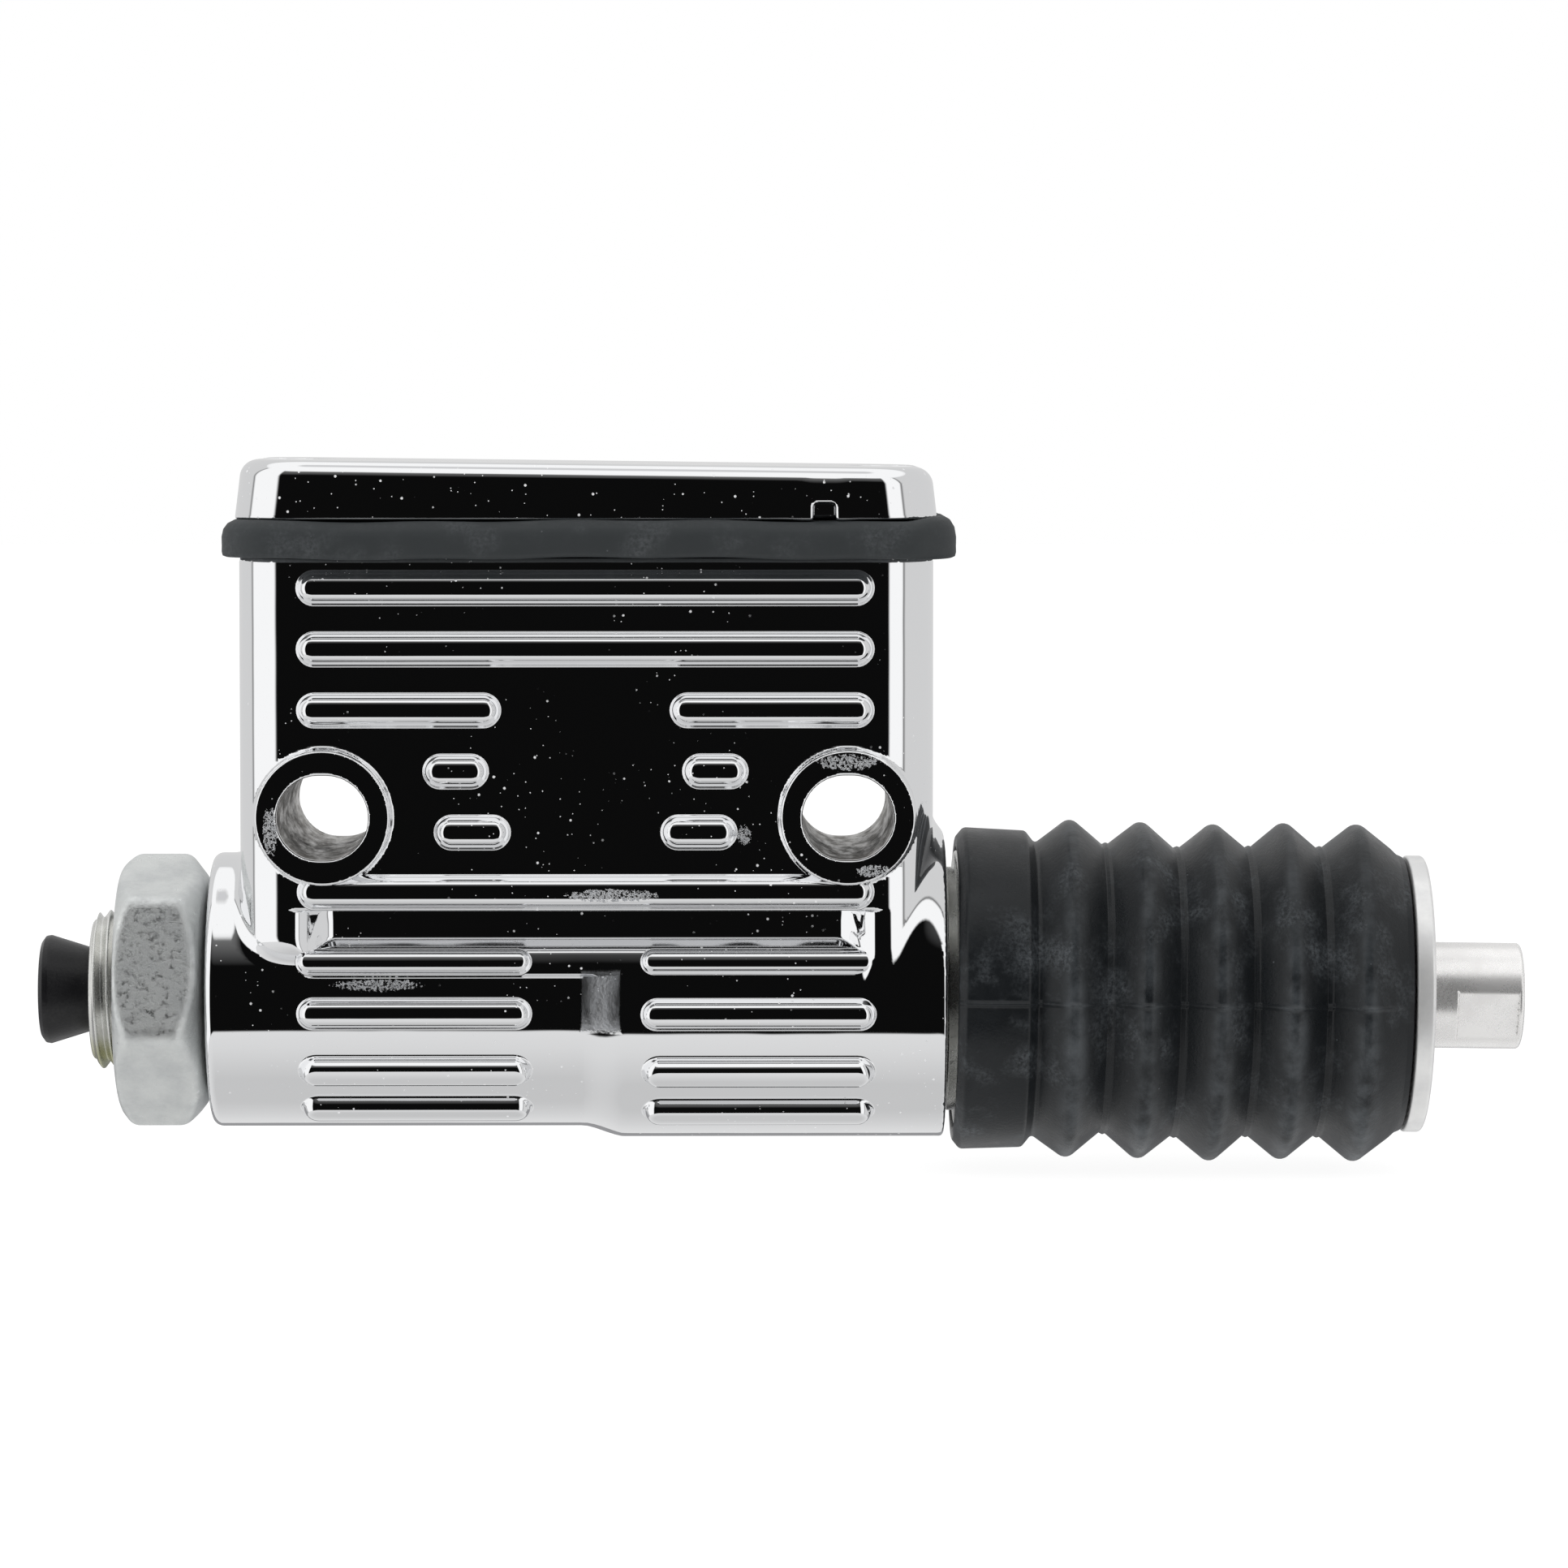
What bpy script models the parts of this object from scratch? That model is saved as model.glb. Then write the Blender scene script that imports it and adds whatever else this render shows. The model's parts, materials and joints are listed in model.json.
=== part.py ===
"""Rear brake master cylinder of the cartridge type, for a motorcycle.

Frame: +X along the bore towards the pushrod, -Y the front with the ribs, +Z up.
The origin is on the bore's axis, in the barrel's end face where the bracket is clamped.
Lengths are named in millimetres, and the helper functions turn them into metres.
"""
import math

import bmesh
import bpy
from mathutils import Matrix, Vector

MM = 0.001
MERGE = 0.00001
GAP = 0.3                     # between neighbours that rest on each other

# Barrel and reservoir
BARREL_LENGTH = 87.5
BARREL_R_NOSE = 16.4          # up to the step
BARREL_R_REAR = 17.7          # past the step
STEP_START = 44.4
STEP_END = 49.0
RESERVOIR_LEFT = 4.5
RESERVOIR_RIGHT = 85.5
RESERVOIR_BOTTOM = 5.0
RESERVOIR_TOP = 52.1
RESERVOIR_HALF_DEPTH = 18.5
RESERVOIR_CORNER = 5.5
MIDDLE = (RESERVOIR_LEFT + RESERVOIR_RIGHT) / 2

# Mounting bosses
BOSS_X = (14.3, 75.6)
BOSS_Z = 21.9
BOSS_FACE = 20.5
BOSS_R_FACE = 7.75
BOSS_R_BASE = 8.4
HOLE_WIDTH = 11.4
HOLE_HEIGHT = 10.2

# Ribs on the front: height, and how far they stand out
RIB_HEIGHT = 4.3
RIB_PROUD = 1.0
RIB_PITCH = 7.13
TOP_RIB_Z = 48.5

# Cartridge and bore
BODY_BORE_R = 12.0
BODY_NOSE_R = 9.85
NOSE_LENGTH = 6.0             # of the narrow stretch of the body's bore
CARTRIDGE_R = 11.7
THREAD_R = 9.525
CARTRIDGE_START = -14.3
FLANGE_R = 16.6
FLANGE_END = 97.0
BORE_R = 7.95
BORE_END = 4.0
PORT_R = 4.95
PORT_DEPTH = 10.0
COUNTERBORE_START = 90.0
COUNTERBORE_R = 10.5

# Jam nut
NUT_FLATS = 28.6
NUT_START = -11.0
NUT_END = -0.3
NUT_TURN = math.radians(10.5)

# Piston, its stop and its pushrod
PISTON_R = 7.85
PISTON_START = 62.5
PISTON_END = 89.9
SOCKET_R = 3.9
SOCKET_DEPTH = 9.0
SHANK_R = 4.75
HEAD_R = 6.35
HEAD_START = 145.2
HEAD_END = 156.0
FLATS_ACROSS = 11.1
FLATS_TURN = math.radians(-20)
ROD_THREAD_R = 3.45           # socket for a 5/16 inch rod

# Boot and retainer
CUFF_START = 89.1
CUFF_END = 97.1
CUFF_R = 19.3
PEAK_R = 20.3
VALLEY_R = 17.4
FIRST_PEAK = 102.2
PEAK_PITCH = 8.5
PEAKS = 5
BOOT_END = 142.4
BOOT_END_R = 16.5
BOOT_WALL = 1.5
RETAINER_START = 142.7
RETAINER_END = 144.9
RETAINER_R = 16.6

# The booted end hangs a little below the bore's axis: the rod from its ball, the rest from the cuff
DROOP = math.radians(0.8)
BALL_X = 84.6
CUFF_MIDDLE = 93.0

# Gasket, cover and screws
GASKET_BOTTOM = RESERVOIR_TOP + GAP
GASKET_TOP = 56.3
GASKET_HALF_LENGTH = 43.0
GASKET_HALF_DEPTH = 21.25
COVER_BOTTOM = GASKET_TOP + GAP
COVER_HALF_LENGTH = 41.25
COVER_HALF_DEPTH = 19.5
COVER_DRAFT = 0.75
COVER_TOP_LEFT = 63.6
COVER_TOP_RIGHT = 62.6
SCREW_X = (9.5, 80.5)
SCREW_R = 2.4
SCREW_HEAD_R = 4.4
SCREW_END = 41.0

ROUND = 36                    # steps of a large turned piece
SMALL_ROUND = 24


def collection(name):
    made = bpy.data.collections.new(name)
    bpy.context.scene.collection.children.link(made)
    return made


def clear_scene():
    for found in list(bpy.data.objects):
        bpy.data.objects.remove(found)


def make_material(name, colour, metallic, roughness):
    made = bpy.data.materials.new(name)
    made.use_nodes = True
    shader = made.node_tree.nodes["Principled BSDF"]
    shader.inputs["Base Color"].default_value = (*colour, 1)
    shader.inputs["Metallic"].default_value = metallic
    shader.inputs["Roughness"].default_value = roughness
    return made


def add_object(name, mesh, home, material=None):
    made = bpy.data.objects.new(name, mesh)
    home.objects.link(made)
    if material:
        made.data.materials.append(material)
    if home is CUTTERS:
        made.hide_render = True
        made.display_type = "WIRE"
    return made


def mesh_from(name, bm):
    mesh = bpy.data.meshes.new(name)
    bmesh.ops.recalc_face_normals(bm, faces=bm.faces)
    bm.to_mesh(mesh)
    bm.free()
    return mesh


def turned(name, profile, home, material=None, steps=ROUND, upright=False):
    """A shape turned about the bore's axis, or about +Z if upright, from points (along the axis, radius).
    The profile starts at the far end and runs down the outer side."""
    mesh = bpy.data.meshes.new(name)
    points = [(r * MM, 0, along * MM) for along, r in profile]
    edges = [(i, i + 1) for i in range(len(points) - 1)]
    if profile[0][1] > 0:
        edges.append((len(points) - 1, 0))
    mesh.from_pydata(points, edges, [])
    made = add_object(name, mesh, home, material)
    if not upright:
        made.rotation_euler = (0, math.pi / 2, 0)
    screw = made.modifiers.new("Turn", "SCREW")
    screw.steps = steps
    screw.render_steps = steps
    screw.use_merge_vertices = True
    screw.merge_threshold = MERGE
    screw.use_smooth_shade = True
    return made


def rounded_box_into(bm, low, high, radius, segments=4, axis=2):
    """Adds a box to bm whose four edges along one axis are rounded."""
    low, high = Vector(low) * MM, Vector(high) * MM
    size = high - low
    place = Matrix.Translation((low + high) / 2) @ Matrix.Diagonal((*size, 1))
    corners = bmesh.ops.create_cube(bm, size=1, matrix=place)["verts"]
    if radius <= 0:
        return corners
    edges = {e for v in corners for e in v.link_edges}
    along = [e for e in edges
             if abs((e.verts[0].co - e.verts[1].co)[axis]) > 0.5 * size[axis]]
    bmesh.ops.bevel(bm, geom=along, offset=radius * MM, segments=segments, affect="EDGES", profile=0.5)
    return corners


def rounded_box(name, low, high, radius, home, material=None, segments=4, axis=2):
    bm = bmesh.new()
    rounded_box_into(bm, low, high, radius, segments, axis)
    return add_object(name, mesh_from(name, bm), home, material)


def cylinder(name, centre, radius, start, end, direction, home, steps=SMALL_ROUND, end_radius=None):
    """A cylinder or cone along direction X, Y or Z, from start to end on that axis."""
    bm = bmesh.new()
    bmesh.ops.create_cone(bm, cap_ends=True, segments=steps, radius1=radius * MM,
                          radius2=(end_radius or radius) * MM, depth=(end - start) * MM)
    turn = {"X": Matrix.Rotation(math.pi / 2, 4, "Y"),
            "Y": Matrix.Rotation(-math.pi / 2, 4, "X"),
            "Z": Matrix.Identity(4)}[direction]
    middle = Vector(centre)
    middle["XYZ".index(direction)] = (start + end) / 2
    bmesh.ops.transform(bm, matrix=Matrix.Translation(middle * MM) @ turn, verts=bm.verts)
    return add_object(name, mesh_from(name, bm), home)


def combine(target, other, operation):
    step = target.modifiers.new(f"{operation.title()} {other.name}", "BOOLEAN")
    step.operation = operation
    step.object = other
    step.solver = "EXACT"
    return target


def cut(target, *cutters):
    for cutter in cutters:
        combine(target, cutter, "DIFFERENCE")


def join(target, *others):
    for other in others:
        combine(target, other, "UNION")


def droop(made, pivot):
    """Tips a piece down to the right about a point on the bore's axis."""
    there = Matrix.Translation((pivot * MM, 0, 0))
    made.matrix_basis = there @ Matrix.Rotation(DROOP, 4, "Y") @ there.inverted() @ made.matrix_basis
    return made


def smooth_by_angle(objects, angle=math.radians(35)):
    for made in objects:
        made.data.shade_smooth()
        made.data.set_sharp_from_angle(angle=angle)


# --- reservoir body -------------------------------------------------------

def face_rib_spans():
    """(height, start, end) of each rib on the reservoir's flat front, symmetric about MIDDLE."""
    full = 33.7
    spans = [(0, -full, full), (1, -full, full)]
    for row, inner, outer in ((2, 9.7, full), (3, 11.1, 19.1), (4, 8.6, 17.8)):
        spans += [(row, -outer, -inner), (row, inner, outer)]
    spans.append((4.94, -full, full))
    return [(TOP_RIB_Z - row * RIB_PITCH, MIDDLE + a, MIDDLE + b) for row, a, b in spans]


def barrel_rib_angles():
    """Angles of the barrel's four rows of ribs, from the front and positive upwards."""
    return [math.radians(12.5 - 24.5 * row) for row in range(4)]


def make_ribs():
    bm = bmesh.new()
    half = RIB_HEIGHT / 2
    for z, start, end in face_rib_spans():
        rounded_box_into(bm, (start, -RESERVOIR_HALF_DEPTH - RIB_PROUD, z - half),
                         (end, -RESERVOIR_HALF_DEPTH + 2, z + half), half * 0.98, 3, axis=1)
    reach = {-1: BARREL_R_NOSE, 1: BARREL_R_REAR}
    for angle in barrel_rib_angles():
        for side, radius in reach.items():
            near, far = sorted((MIDDLE + side * 6.1, MIDDLE + side * 33.8))
            made = rounded_box_into(bm, (near, -radius - RIB_PROUD, -half),
                                    (far, -radius + 3, half), 0, axis=1)
            bmesh.ops.rotate(bm, verts=made, matrix=Matrix.Rotation(-angle, 3, "X"))
    return add_object("rib_shapes", mesh_from("rib_shapes", bm), CUTTERS)


def make_cavity():
    """The fluid space: a wide upper part, and a lower part between the mounting holes."""
    half_depth = RESERVOIR_HALF_DEPTH - 3.2
    upper = rounded_box("cavity_upper", (8, -half_depth, 33), (82, half_depth, RESERVOIR_TOP + 2),
                        4, CUTTERS)
    lower = rounded_box("cavity_lower", (25, -half_depth, 20), (65, half_depth, 34), 4, CUTTERS)
    join(upper, lower)
    for number, x in enumerate(SCREW_X):
        column = cylinder(f"screw_column_{number}", (x, 0, 0), 4.8, 30, RESERVOIR_TOP + 4, "Z", CUTTERS)
        cut(upper, column)
    return upper


def make_reservoir_body():
    barrel = [(BARREL_LENGTH, 0), (BARREL_LENGTH, BARREL_R_REAR - 0.6),
              (BARREL_LENGTH - 0.6, BARREL_R_REAR), (STEP_END, BARREL_R_REAR),
              (STEP_START, BARREL_R_NOSE), (1.3, BARREL_R_NOSE), (0, BARREL_R_NOSE - 1.3), (0, 0)]
    body = turned("reservoir_body", barrel, PARTS, CHROME)
    reservoir = rounded_box("reservoir_shape",
                            (RESERVOIR_LEFT, -RESERVOIR_HALF_DEPTH, RESERVOIR_BOTTOM),
                            (RESERVOIR_RIGHT, RESERVOIR_HALF_DEPTH, RESERVOIR_TOP),
                            RESERVOIR_CORNER, CUTTERS)
    join(body, reservoir, make_ribs())
    for number, x in enumerate(BOSS_X):
        for side in (-1, 1):
            ends = sorted((side * 15, side * BOSS_FACE))
            radii = (BOSS_R_BASE, BOSS_R_FACE) if side > 0 else (BOSS_R_FACE, BOSS_R_BASE)
            join(body, cylinder(f"boss_{number}_{side + 1}", (x, 0, BOSS_Z), radii[0], *ends, "Y",
                                CUTTERS, end_radius=radii[1]))
    recess = rounded_box("front_recess", (MIDDLE - 31.5, -30, 6.7), (MIDDLE + 31.5, -14.6, 10.1),
                         0, CUTTERS)
    bore = cylinder("body_bore", (0, 0, 0), BODY_BORE_R, NOSE_LENGTH, BARREL_LENGTH + 2, "X",
                    CUTTERS, ROUND)
    nose = cylinder("body_nose_bore", (0, 0, 0), BODY_NOSE_R, -2, NOSE_LENGTH + 1, "X", CUTTERS)
    feed = cylinder("feed_hole", (60, 0, 0), 2, 10, 21, "Z", CUTTERS, 16)
    cut(body, recess, make_cavity(), bore, nose, feed)
    for number, x in enumerate(BOSS_X):
        half = HOLE_WIDTH / 2
        cut(body, rounded_box(f"mount_hole_{number}",
                              (x - half, -BOSS_FACE - 2, BOSS_Z - HOLE_HEIGHT / 2),
                              (x + half, BOSS_FACE + 2, BOSS_Z + HOLE_HEIGHT / 2),
                              HOLE_HEIGHT / 2 * 0.99, CUTTERS, segments=8, axis=1))
    for number, x in enumerate(SCREW_X):
        cut(body, cylinder(f"tapped_hole_{number}", (x, 0, 0), SCREW_R + GAP, SCREW_END - 1,
                           RESERVOIR_TOP + 3, "Z", CUTTERS, 16))
    return body


# --- cover, gasket and screws ---------------------------------------------

def make_gasket():
    """A thick rim that overhangs the reservoir all round, with a diaphragm that hangs inside it."""
    depth = GASKET_HALF_DEPTH
    gasket = rounded_box("cover_gasket", (MIDDLE - GASKET_HALF_LENGTH, -depth, GASKET_BOTTOM),
                         (MIDDLE + GASKET_HALF_LENGTH, depth, GASKET_TOP), 7, PARTS, RUBBER)
    hanging = rounded_box("diaphragm_outside", (18, -13, 47), (72, 13, GASKET_BOTTOM + 1), 4, CUTTERS)
    inside = rounded_box("diaphragm_inside", (19.5, -11.5, 48.5), (70.5, 11.5, GASKET_TOP + 1), 2.5,
                         CUTTERS)
    join(gasket, hanging)
    cut(gasket, inside)
    for number, x in enumerate(SCREW_X):
        cut(gasket, cylinder(f"gasket_hole_{number}", (x, 0, 0), SCREW_R + GAP, 50, 58, "Z",
                             CUTTERS, 16))
    return gasket


def slope_top(mesh):
    """Lowers the top of the cover from its left end to its right end, and draws its sides in."""
    top = max(v.co.z for v in mesh.vertices)
    for v in mesh.vertices:
        if v.co.z > top - MERGE:
            share = (v.co.x / MM - (MIDDLE - COVER_HALF_LENGTH)) / (2 * COVER_HALF_LENGTH)
            v.co.z = (COVER_TOP_LEFT + share * (COVER_TOP_RIGHT - COVER_TOP_LEFT)) * MM
            v.co.x -= COVER_DRAFT * MM * (v.co.x / MM - MIDDLE) / COVER_HALF_LENGTH
            v.co.y -= COVER_DRAFT * MM * v.co.y / MM / COVER_HALF_DEPTH


def make_cover():
    length, depth = COVER_HALF_LENGTH, COVER_HALF_DEPTH
    cover = rounded_box("reservoir_cover", (MIDDLE - length, -depth, COVER_BOTTOM),
                        (MIDDLE + length, depth, COVER_TOP_LEFT), 6, PARTS, CHROME)
    slope_top(cover.data)
    hollow = rounded_box("cover_hollow", (MIDDLE - length + 3, -depth + 3, COVER_BOTTOM - 2),
                         (MIDDLE + length - 3, depth - 3, COVER_BOTTOM + 3.2), 3.5, CUTTERS)
    for number, x in enumerate(SCREW_X):
        cut(hollow, cylinder(f"cover_column_{number}", (x, 0, 0), 5.2, COVER_BOTTOM - 4,
                             COVER_BOTTOM + 6, "Z", CUTTERS))
    vent = rounded_box("vent_notch", (71.6, -depth - 2, COVER_BOTTOM - 2),
                       (74.2, -depth + 4, COVER_BOTTOM + 1.8), 0, CUTTERS)
    cut(cover, hollow, vent)
    for number, x in enumerate(SCREW_X):
        cut(cover, screw_shape(f"screw_seat_{number}", x, GAP, CUTTERS))
    return cover


def screw_shape(name, x, grow, home, material=None):
    """A countersunk screw, or with grow the seat that clears it."""
    top = screw_top(x)
    above = 1 if grow else 0
    head = SCREW_HEAD_R + grow
    shank = SCREW_R + grow
    profile = [(top + above, 0), (top + above, head), (top - 0.3, head),
               (top - 0.3 - (head - shank), shank), (SCREW_END, shank), (SCREW_END, 0)]
    made = turned(name, profile, home, material, 24, upright=True)
    made.location = (x * MM, 0, 0)
    return made


def screw_top(x):
    """A little below the cover's sloping top."""
    share = (x - MIDDLE + COVER_HALF_LENGTH) / (2 * COVER_HALF_LENGTH)
    return COVER_TOP_LEFT + share * (COVER_TOP_RIGHT - COVER_TOP_LEFT) - 0.6


def make_cover_screws():
    screws = []
    for side, x in zip(("left", "right"), SCREW_X):
        screw = screw_shape(f"cover_screw_{side}", x, 0, PARTS, ZINC)
        top = screw_top(x)
        for turn, (long, wide) in enumerate(((2.2, 0.5), (0.5, 2.2))):
            cut(screw, rounded_box(f"drive_{side}_{turn}", (x - long, -wide, top - 1.6),
                                   (x + long, wide, top + 1), 0, CUTTERS))
        screws.append(screw)
    return screws


# --- cartridge and nut ----------------------------------------------------

def make_cartridge():
    groove = 9.3
    feed_groove = 10.0
    outer = [(FLANGE_END, COUNTERBORE_R), (FLANGE_END, FLANGE_R), (94.2, FLANGE_R), (94.2, 14.8),
             (91.6, 14.8), (91.6, FLANGE_R), (BARREL_LENGTH + GAP, FLANGE_R),
             (BARREL_LENGTH + GAP, CARTRIDGE_R), (83.0, CARTRIDGE_R), (83.0, groove), (80.0, groove),
             (80.0, CARTRIDGE_R), (72.0, CARTRIDGE_R), (72.0, feed_groove), (50.0, feed_groove),
             (50.0, CARTRIDGE_R), (21.0, CARTRIDGE_R), (21.0, groove), (18.0, groove),
             (18.0, CARTRIDGE_R), (NOSE_LENGTH + GAP, CARTRIDGE_R), (NOSE_LENGTH + GAP, THREAD_R),
             (CARTRIDGE_START + 1, THREAD_R), (CARTRIDGE_START, THREAD_R - 1)]
    inner = [(CARTRIDGE_START, PORT_R), (CARTRIDGE_START + PORT_DEPTH, PORT_R),
             (CARTRIDGE_START + PORT_DEPTH + 2, 1.5), (BORE_END, 1.5), (BORE_END, BORE_R),
             (COUNTERBORE_START, BORE_R), (COUNTERBORE_START, COUNTERBORE_R), (91.3, COUNTERBORE_R),
             (91.3, 11.4), (92.8, 11.4), (92.8, COUNTERBORE_R)]
    cartridge = turned("cartridge_body", outer + inner, PARTS, ZINC)
    for name, x, radius in (("compensating_port", 55.5, 0.6), ("inlet_port", 68.0, 1.5)):
        cut(cartridge, cylinder(name, (x, 0, 0), radius, 6, 12, "Z", CUTTERS, 12))
    return cartridge


def make_jam_nut():
    """A hexagon whose corners are turned off at both faces."""
    corner = NUT_FLATS / 2 / math.cos(math.pi / 6)
    blank = cylinder("jam_nut", (0, 0, 0), corner, NUT_START, NUT_END, "X", PARTS, 6)
    blank.data.materials.append(ZINC)
    blank.rotation_euler = (NUT_TURN, 0, 0)
    chamfer = 1.5
    turning = turned("nut_turning", [(NUT_END, 0), (NUT_END, corner - 2 * chamfer),
                                     (NUT_END - chamfer, corner + 0.6),
                                     (NUT_START + chamfer, corner + 0.6),
                                     (NUT_START, corner - 2 * chamfer), (NUT_START, 0)], CUTTERS)
    combine(blank, turning, "INTERSECT")
    cut(blank, cylinder("nut_thread", (0, 0, 0), THREAD_R + GAP, NUT_START - 1, NUT_END + 1, "X",
                        CUTTERS, ROUND))
    return blank


def ring(name, x, radius, section, material):
    """A torus about the bore's axis."""
    sides = 8
    turns = [2 * math.pi * i / sides for i in range(sides)]
    profile = [(x + section * math.cos(a), radius + section * math.sin(a)) for a in turns]
    return turned(name, profile, PARTS, material, SMALL_ROUND)


def make_o_rings():
    return [ring("front_o_ring", 19.5, 10.65, 1.0, RUBBER), ring("rear_o_ring", 81.5, 10.65, 1.0, RUBBER)]


# --- piston and its pieces ------------------------------------------------

def make_piston():
    waist, cup_groove = 5.0, 5.2
    end, socket_end = PISTON_END, PISTON_END - SOCKET_DEPTH
    profile = [(end, 0), (end, PISTON_R), (87.0, PISTON_R), (87.0, cup_groove),
               (84.0, cup_groove), (84.0, PISTON_R), (80.5, PISTON_R), (79.0, waist), (68.0, waist),
               (66.5, PISTON_R), (PISTON_START, PISTON_R), (PISTON_START, 0)]
    piston = turned("piston", profile, PARTS, ALUMINIUM)
    socket = turned("piston_socket", [(end + 1, 0), (end + 1, SOCKET_R), (socket_end, SOCKET_R),
                                      (socket_end - 2, 0)], CUTTERS, steps=SMALL_ROUND)
    cut(piston, socket)
    return piston


def make_primary_cup():
    """A cup whose lip opens towards the pressure."""
    outer = BORE_R - 0.35
    profile = [(61.7, 0), (61.7, outer - 0.4), (61.3, outer - 0.2), (57.6, outer), (57.4, outer - 0.3),
               (59.6, outer - 1.6), (59.8, 0)]
    return turned("primary_cup", profile, PARTS, RUBBER, SMALL_ROUND)


def make_secondary_cup():
    outer = BORE_R - 0.35
    profile = [(86.7, 5.55), (86.7, outer - 0.3), (84.3, outer), (84.3, outer - 0.5), (85.4, 6.5),
               (84.3, 5.9), (84.3, 5.55)]
    return turned("secondary_cup", profile, PARTS, RUBBER, SMALL_ROUND)


def make_cup_washer():
    profile = [(62.3, 0), (62.3, 6.8), (61.95, 6.8), (61.95, 0)]
    return turned("cup_washer", profile, PARTS, BRASS, SMALL_ROUND)


def make_spring_seat():
    """A button that centres the piston spring and presses on the primary cup."""
    profile = [(59.5, 0), (59.5, 5.3), (56.6, 5.3), (56.6, 3.6), (53.0, 3.4), (53.0, 0)]
    return turned("spring_seat", profile, PARTS, BRASS, 24)


def helix(turns, radius, start, end, per_turn):
    """Points of a spring whose first and last turns lie nearly flat."""
    count = int(turns * per_turn) + 1
    points = []
    for i in range(count):
        share = i / (count - 1)
        t = share * turns
        flat = 0.85
        if t < 1:
            climb = t * t * (1 - flat / 2)
        elif t > turns - 1:
            left = turns - t
            climb = turns - 2 + 2 * (1 - flat / 2) - left * left * (1 - flat / 2)
        else:
            climb = (1 - flat / 2) + (t - 1)
        whole = turns - 2 + 2 * (1 - flat / 2)
        angle = 2 * math.pi * t
        points.append((start + (end - start) * climb / whole, radius * math.cos(angle),
                       radius * math.sin(angle)))
    return points


def wire(name, points, radius, material):
    """A round wire along the points."""
    curve = bpy.data.curves.new(name, "CURVE")
    curve.dimensions = "3D"
    curve.bevel_depth = radius * MM
    curve.bevel_resolution = 2
    curve.use_fill_caps = True
    spline = curve.splines.new("POLY")
    spline.points.add(len(points) - 1)
    for point, place in zip(spline.points, points):
        point.co = (*(Vector(place) * MM), 1)
    return add_object(name, curve, PARTS, material)


def make_springs():
    piston_wire, return_wire = 0.7, 1.2
    inner = wire("piston_spring", helix(8, 4.6, BORE_END + GAP + piston_wire,
                                        56.6 - GAP - piston_wire, 9), piston_wire, STEEL)
    outer = wire("return_spring", helix(6, 13.3, FLANGE_END + GAP + return_wire,
                                        BOOT_END - BOOT_WALL - GAP - return_wire, 11),
                 return_wire, STEEL)
    return [inner, droop(outer, CUFF_MIDDLE)]


def make_stop_washer():
    profile = [(91.15, 5.3), (91.15, 10.1), (90.3, 10.1), (90.3, 5.3)]
    return turned("stop_washer", profile, PARTS, ZINC, SMALL_ROUND)


def make_retaining_ring():
    """An internal circlip: a ring with a gap at its foot."""
    profile = [(92.55, 8.4), (92.55, 11.0), (91.55, 11.0), (91.55, 8.4)]
    clip = turned("retaining_ring", profile, PARTS, STEEL, SMALL_ROUND)
    cut(clip, rounded_box("circlip_gap", (91, -2.2, -13), (93, 2.2, -6), 0, CUTTERS))
    return clip


# --- pushrod, boot, retainer and plug --------------------------------------

def make_pushrod():
    """A ball end in the piston, a shank through the boot, and a head with two wrench flats."""
    tip, ball = PISTON_END - SOCKET_DEPTH, 3.4
    profile = [(HEAD_END, 0), (HEAD_END, HEAD_R - 1), (HEAD_END - 1, HEAD_R), (HEAD_START, HEAD_R),
               (HEAD_START, SHANK_R), (94.0, SHANK_R), (92.6, ball)]
    for i in range(1, 4):
        angle = math.pi / 2 * i / 3
        profile.append((tip + 0.3 + ball * (1 - math.sin(angle)), ball * math.cos(angle)))
    profile[-1] = (tip + 0.3, 0)
    rod = turned("pushrod", profile, PARTS, ZINC, SMALL_ROUND)
    turned_rod = Matrix.Rotation(FLATS_TURN, 4, "X") @ Matrix.Rotation(math.pi / 2, 4, "Y")
    rod.matrix_basis = turned_rod
    for side in (-1, 1):
        near, far = sorted((side * FLATS_ACROSS / 2, side * 9))
        flat = rounded_box(f"wrench_flat_{side + 1}", (148.5, near, -9), (155.5, far, 9), 0, CUTTERS)
        flat.rotation_euler = (FLATS_TURN, 0, 0)
        cut(rod, droop(flat, BALL_X))
    thread = cylinder("rod_thread", (0, 0, 0), ROD_THREAD_R, HEAD_END - 14, HEAD_END + 1, "X",
                      CUTTERS, 24)
    cut(rod, droop(thread, BALL_X))
    return droop(rod, BALL_X)


def boot_outline():
    """(along, radius) of the boot's outer side, from its outer end to the cuff."""
    points = [(BOOT_END, BOOT_END_R - 0.4), (BOOT_END - 0.4, BOOT_END_R)]
    for number in reversed(range(PEAKS)):
        peak = FIRST_PEAK + number * PEAK_PITCH
        points += [(peak + 0.7, PEAK_R - 0.35), (peak, PEAK_R), (peak - 0.7, PEAK_R - 0.35)]
        if number:
            points.append((peak - PEAK_PITCH / 2, VALLEY_R))
    points += [(98.1, VALLEY_R + 0.1), (CUFF_END, CUFF_R - 0.6), (CUFF_END - 0.7, CUFF_R),
               (CUFF_START + 0.8, CUFF_R), (CUFF_START, CUFF_R - 0.8)]
    return points


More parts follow.
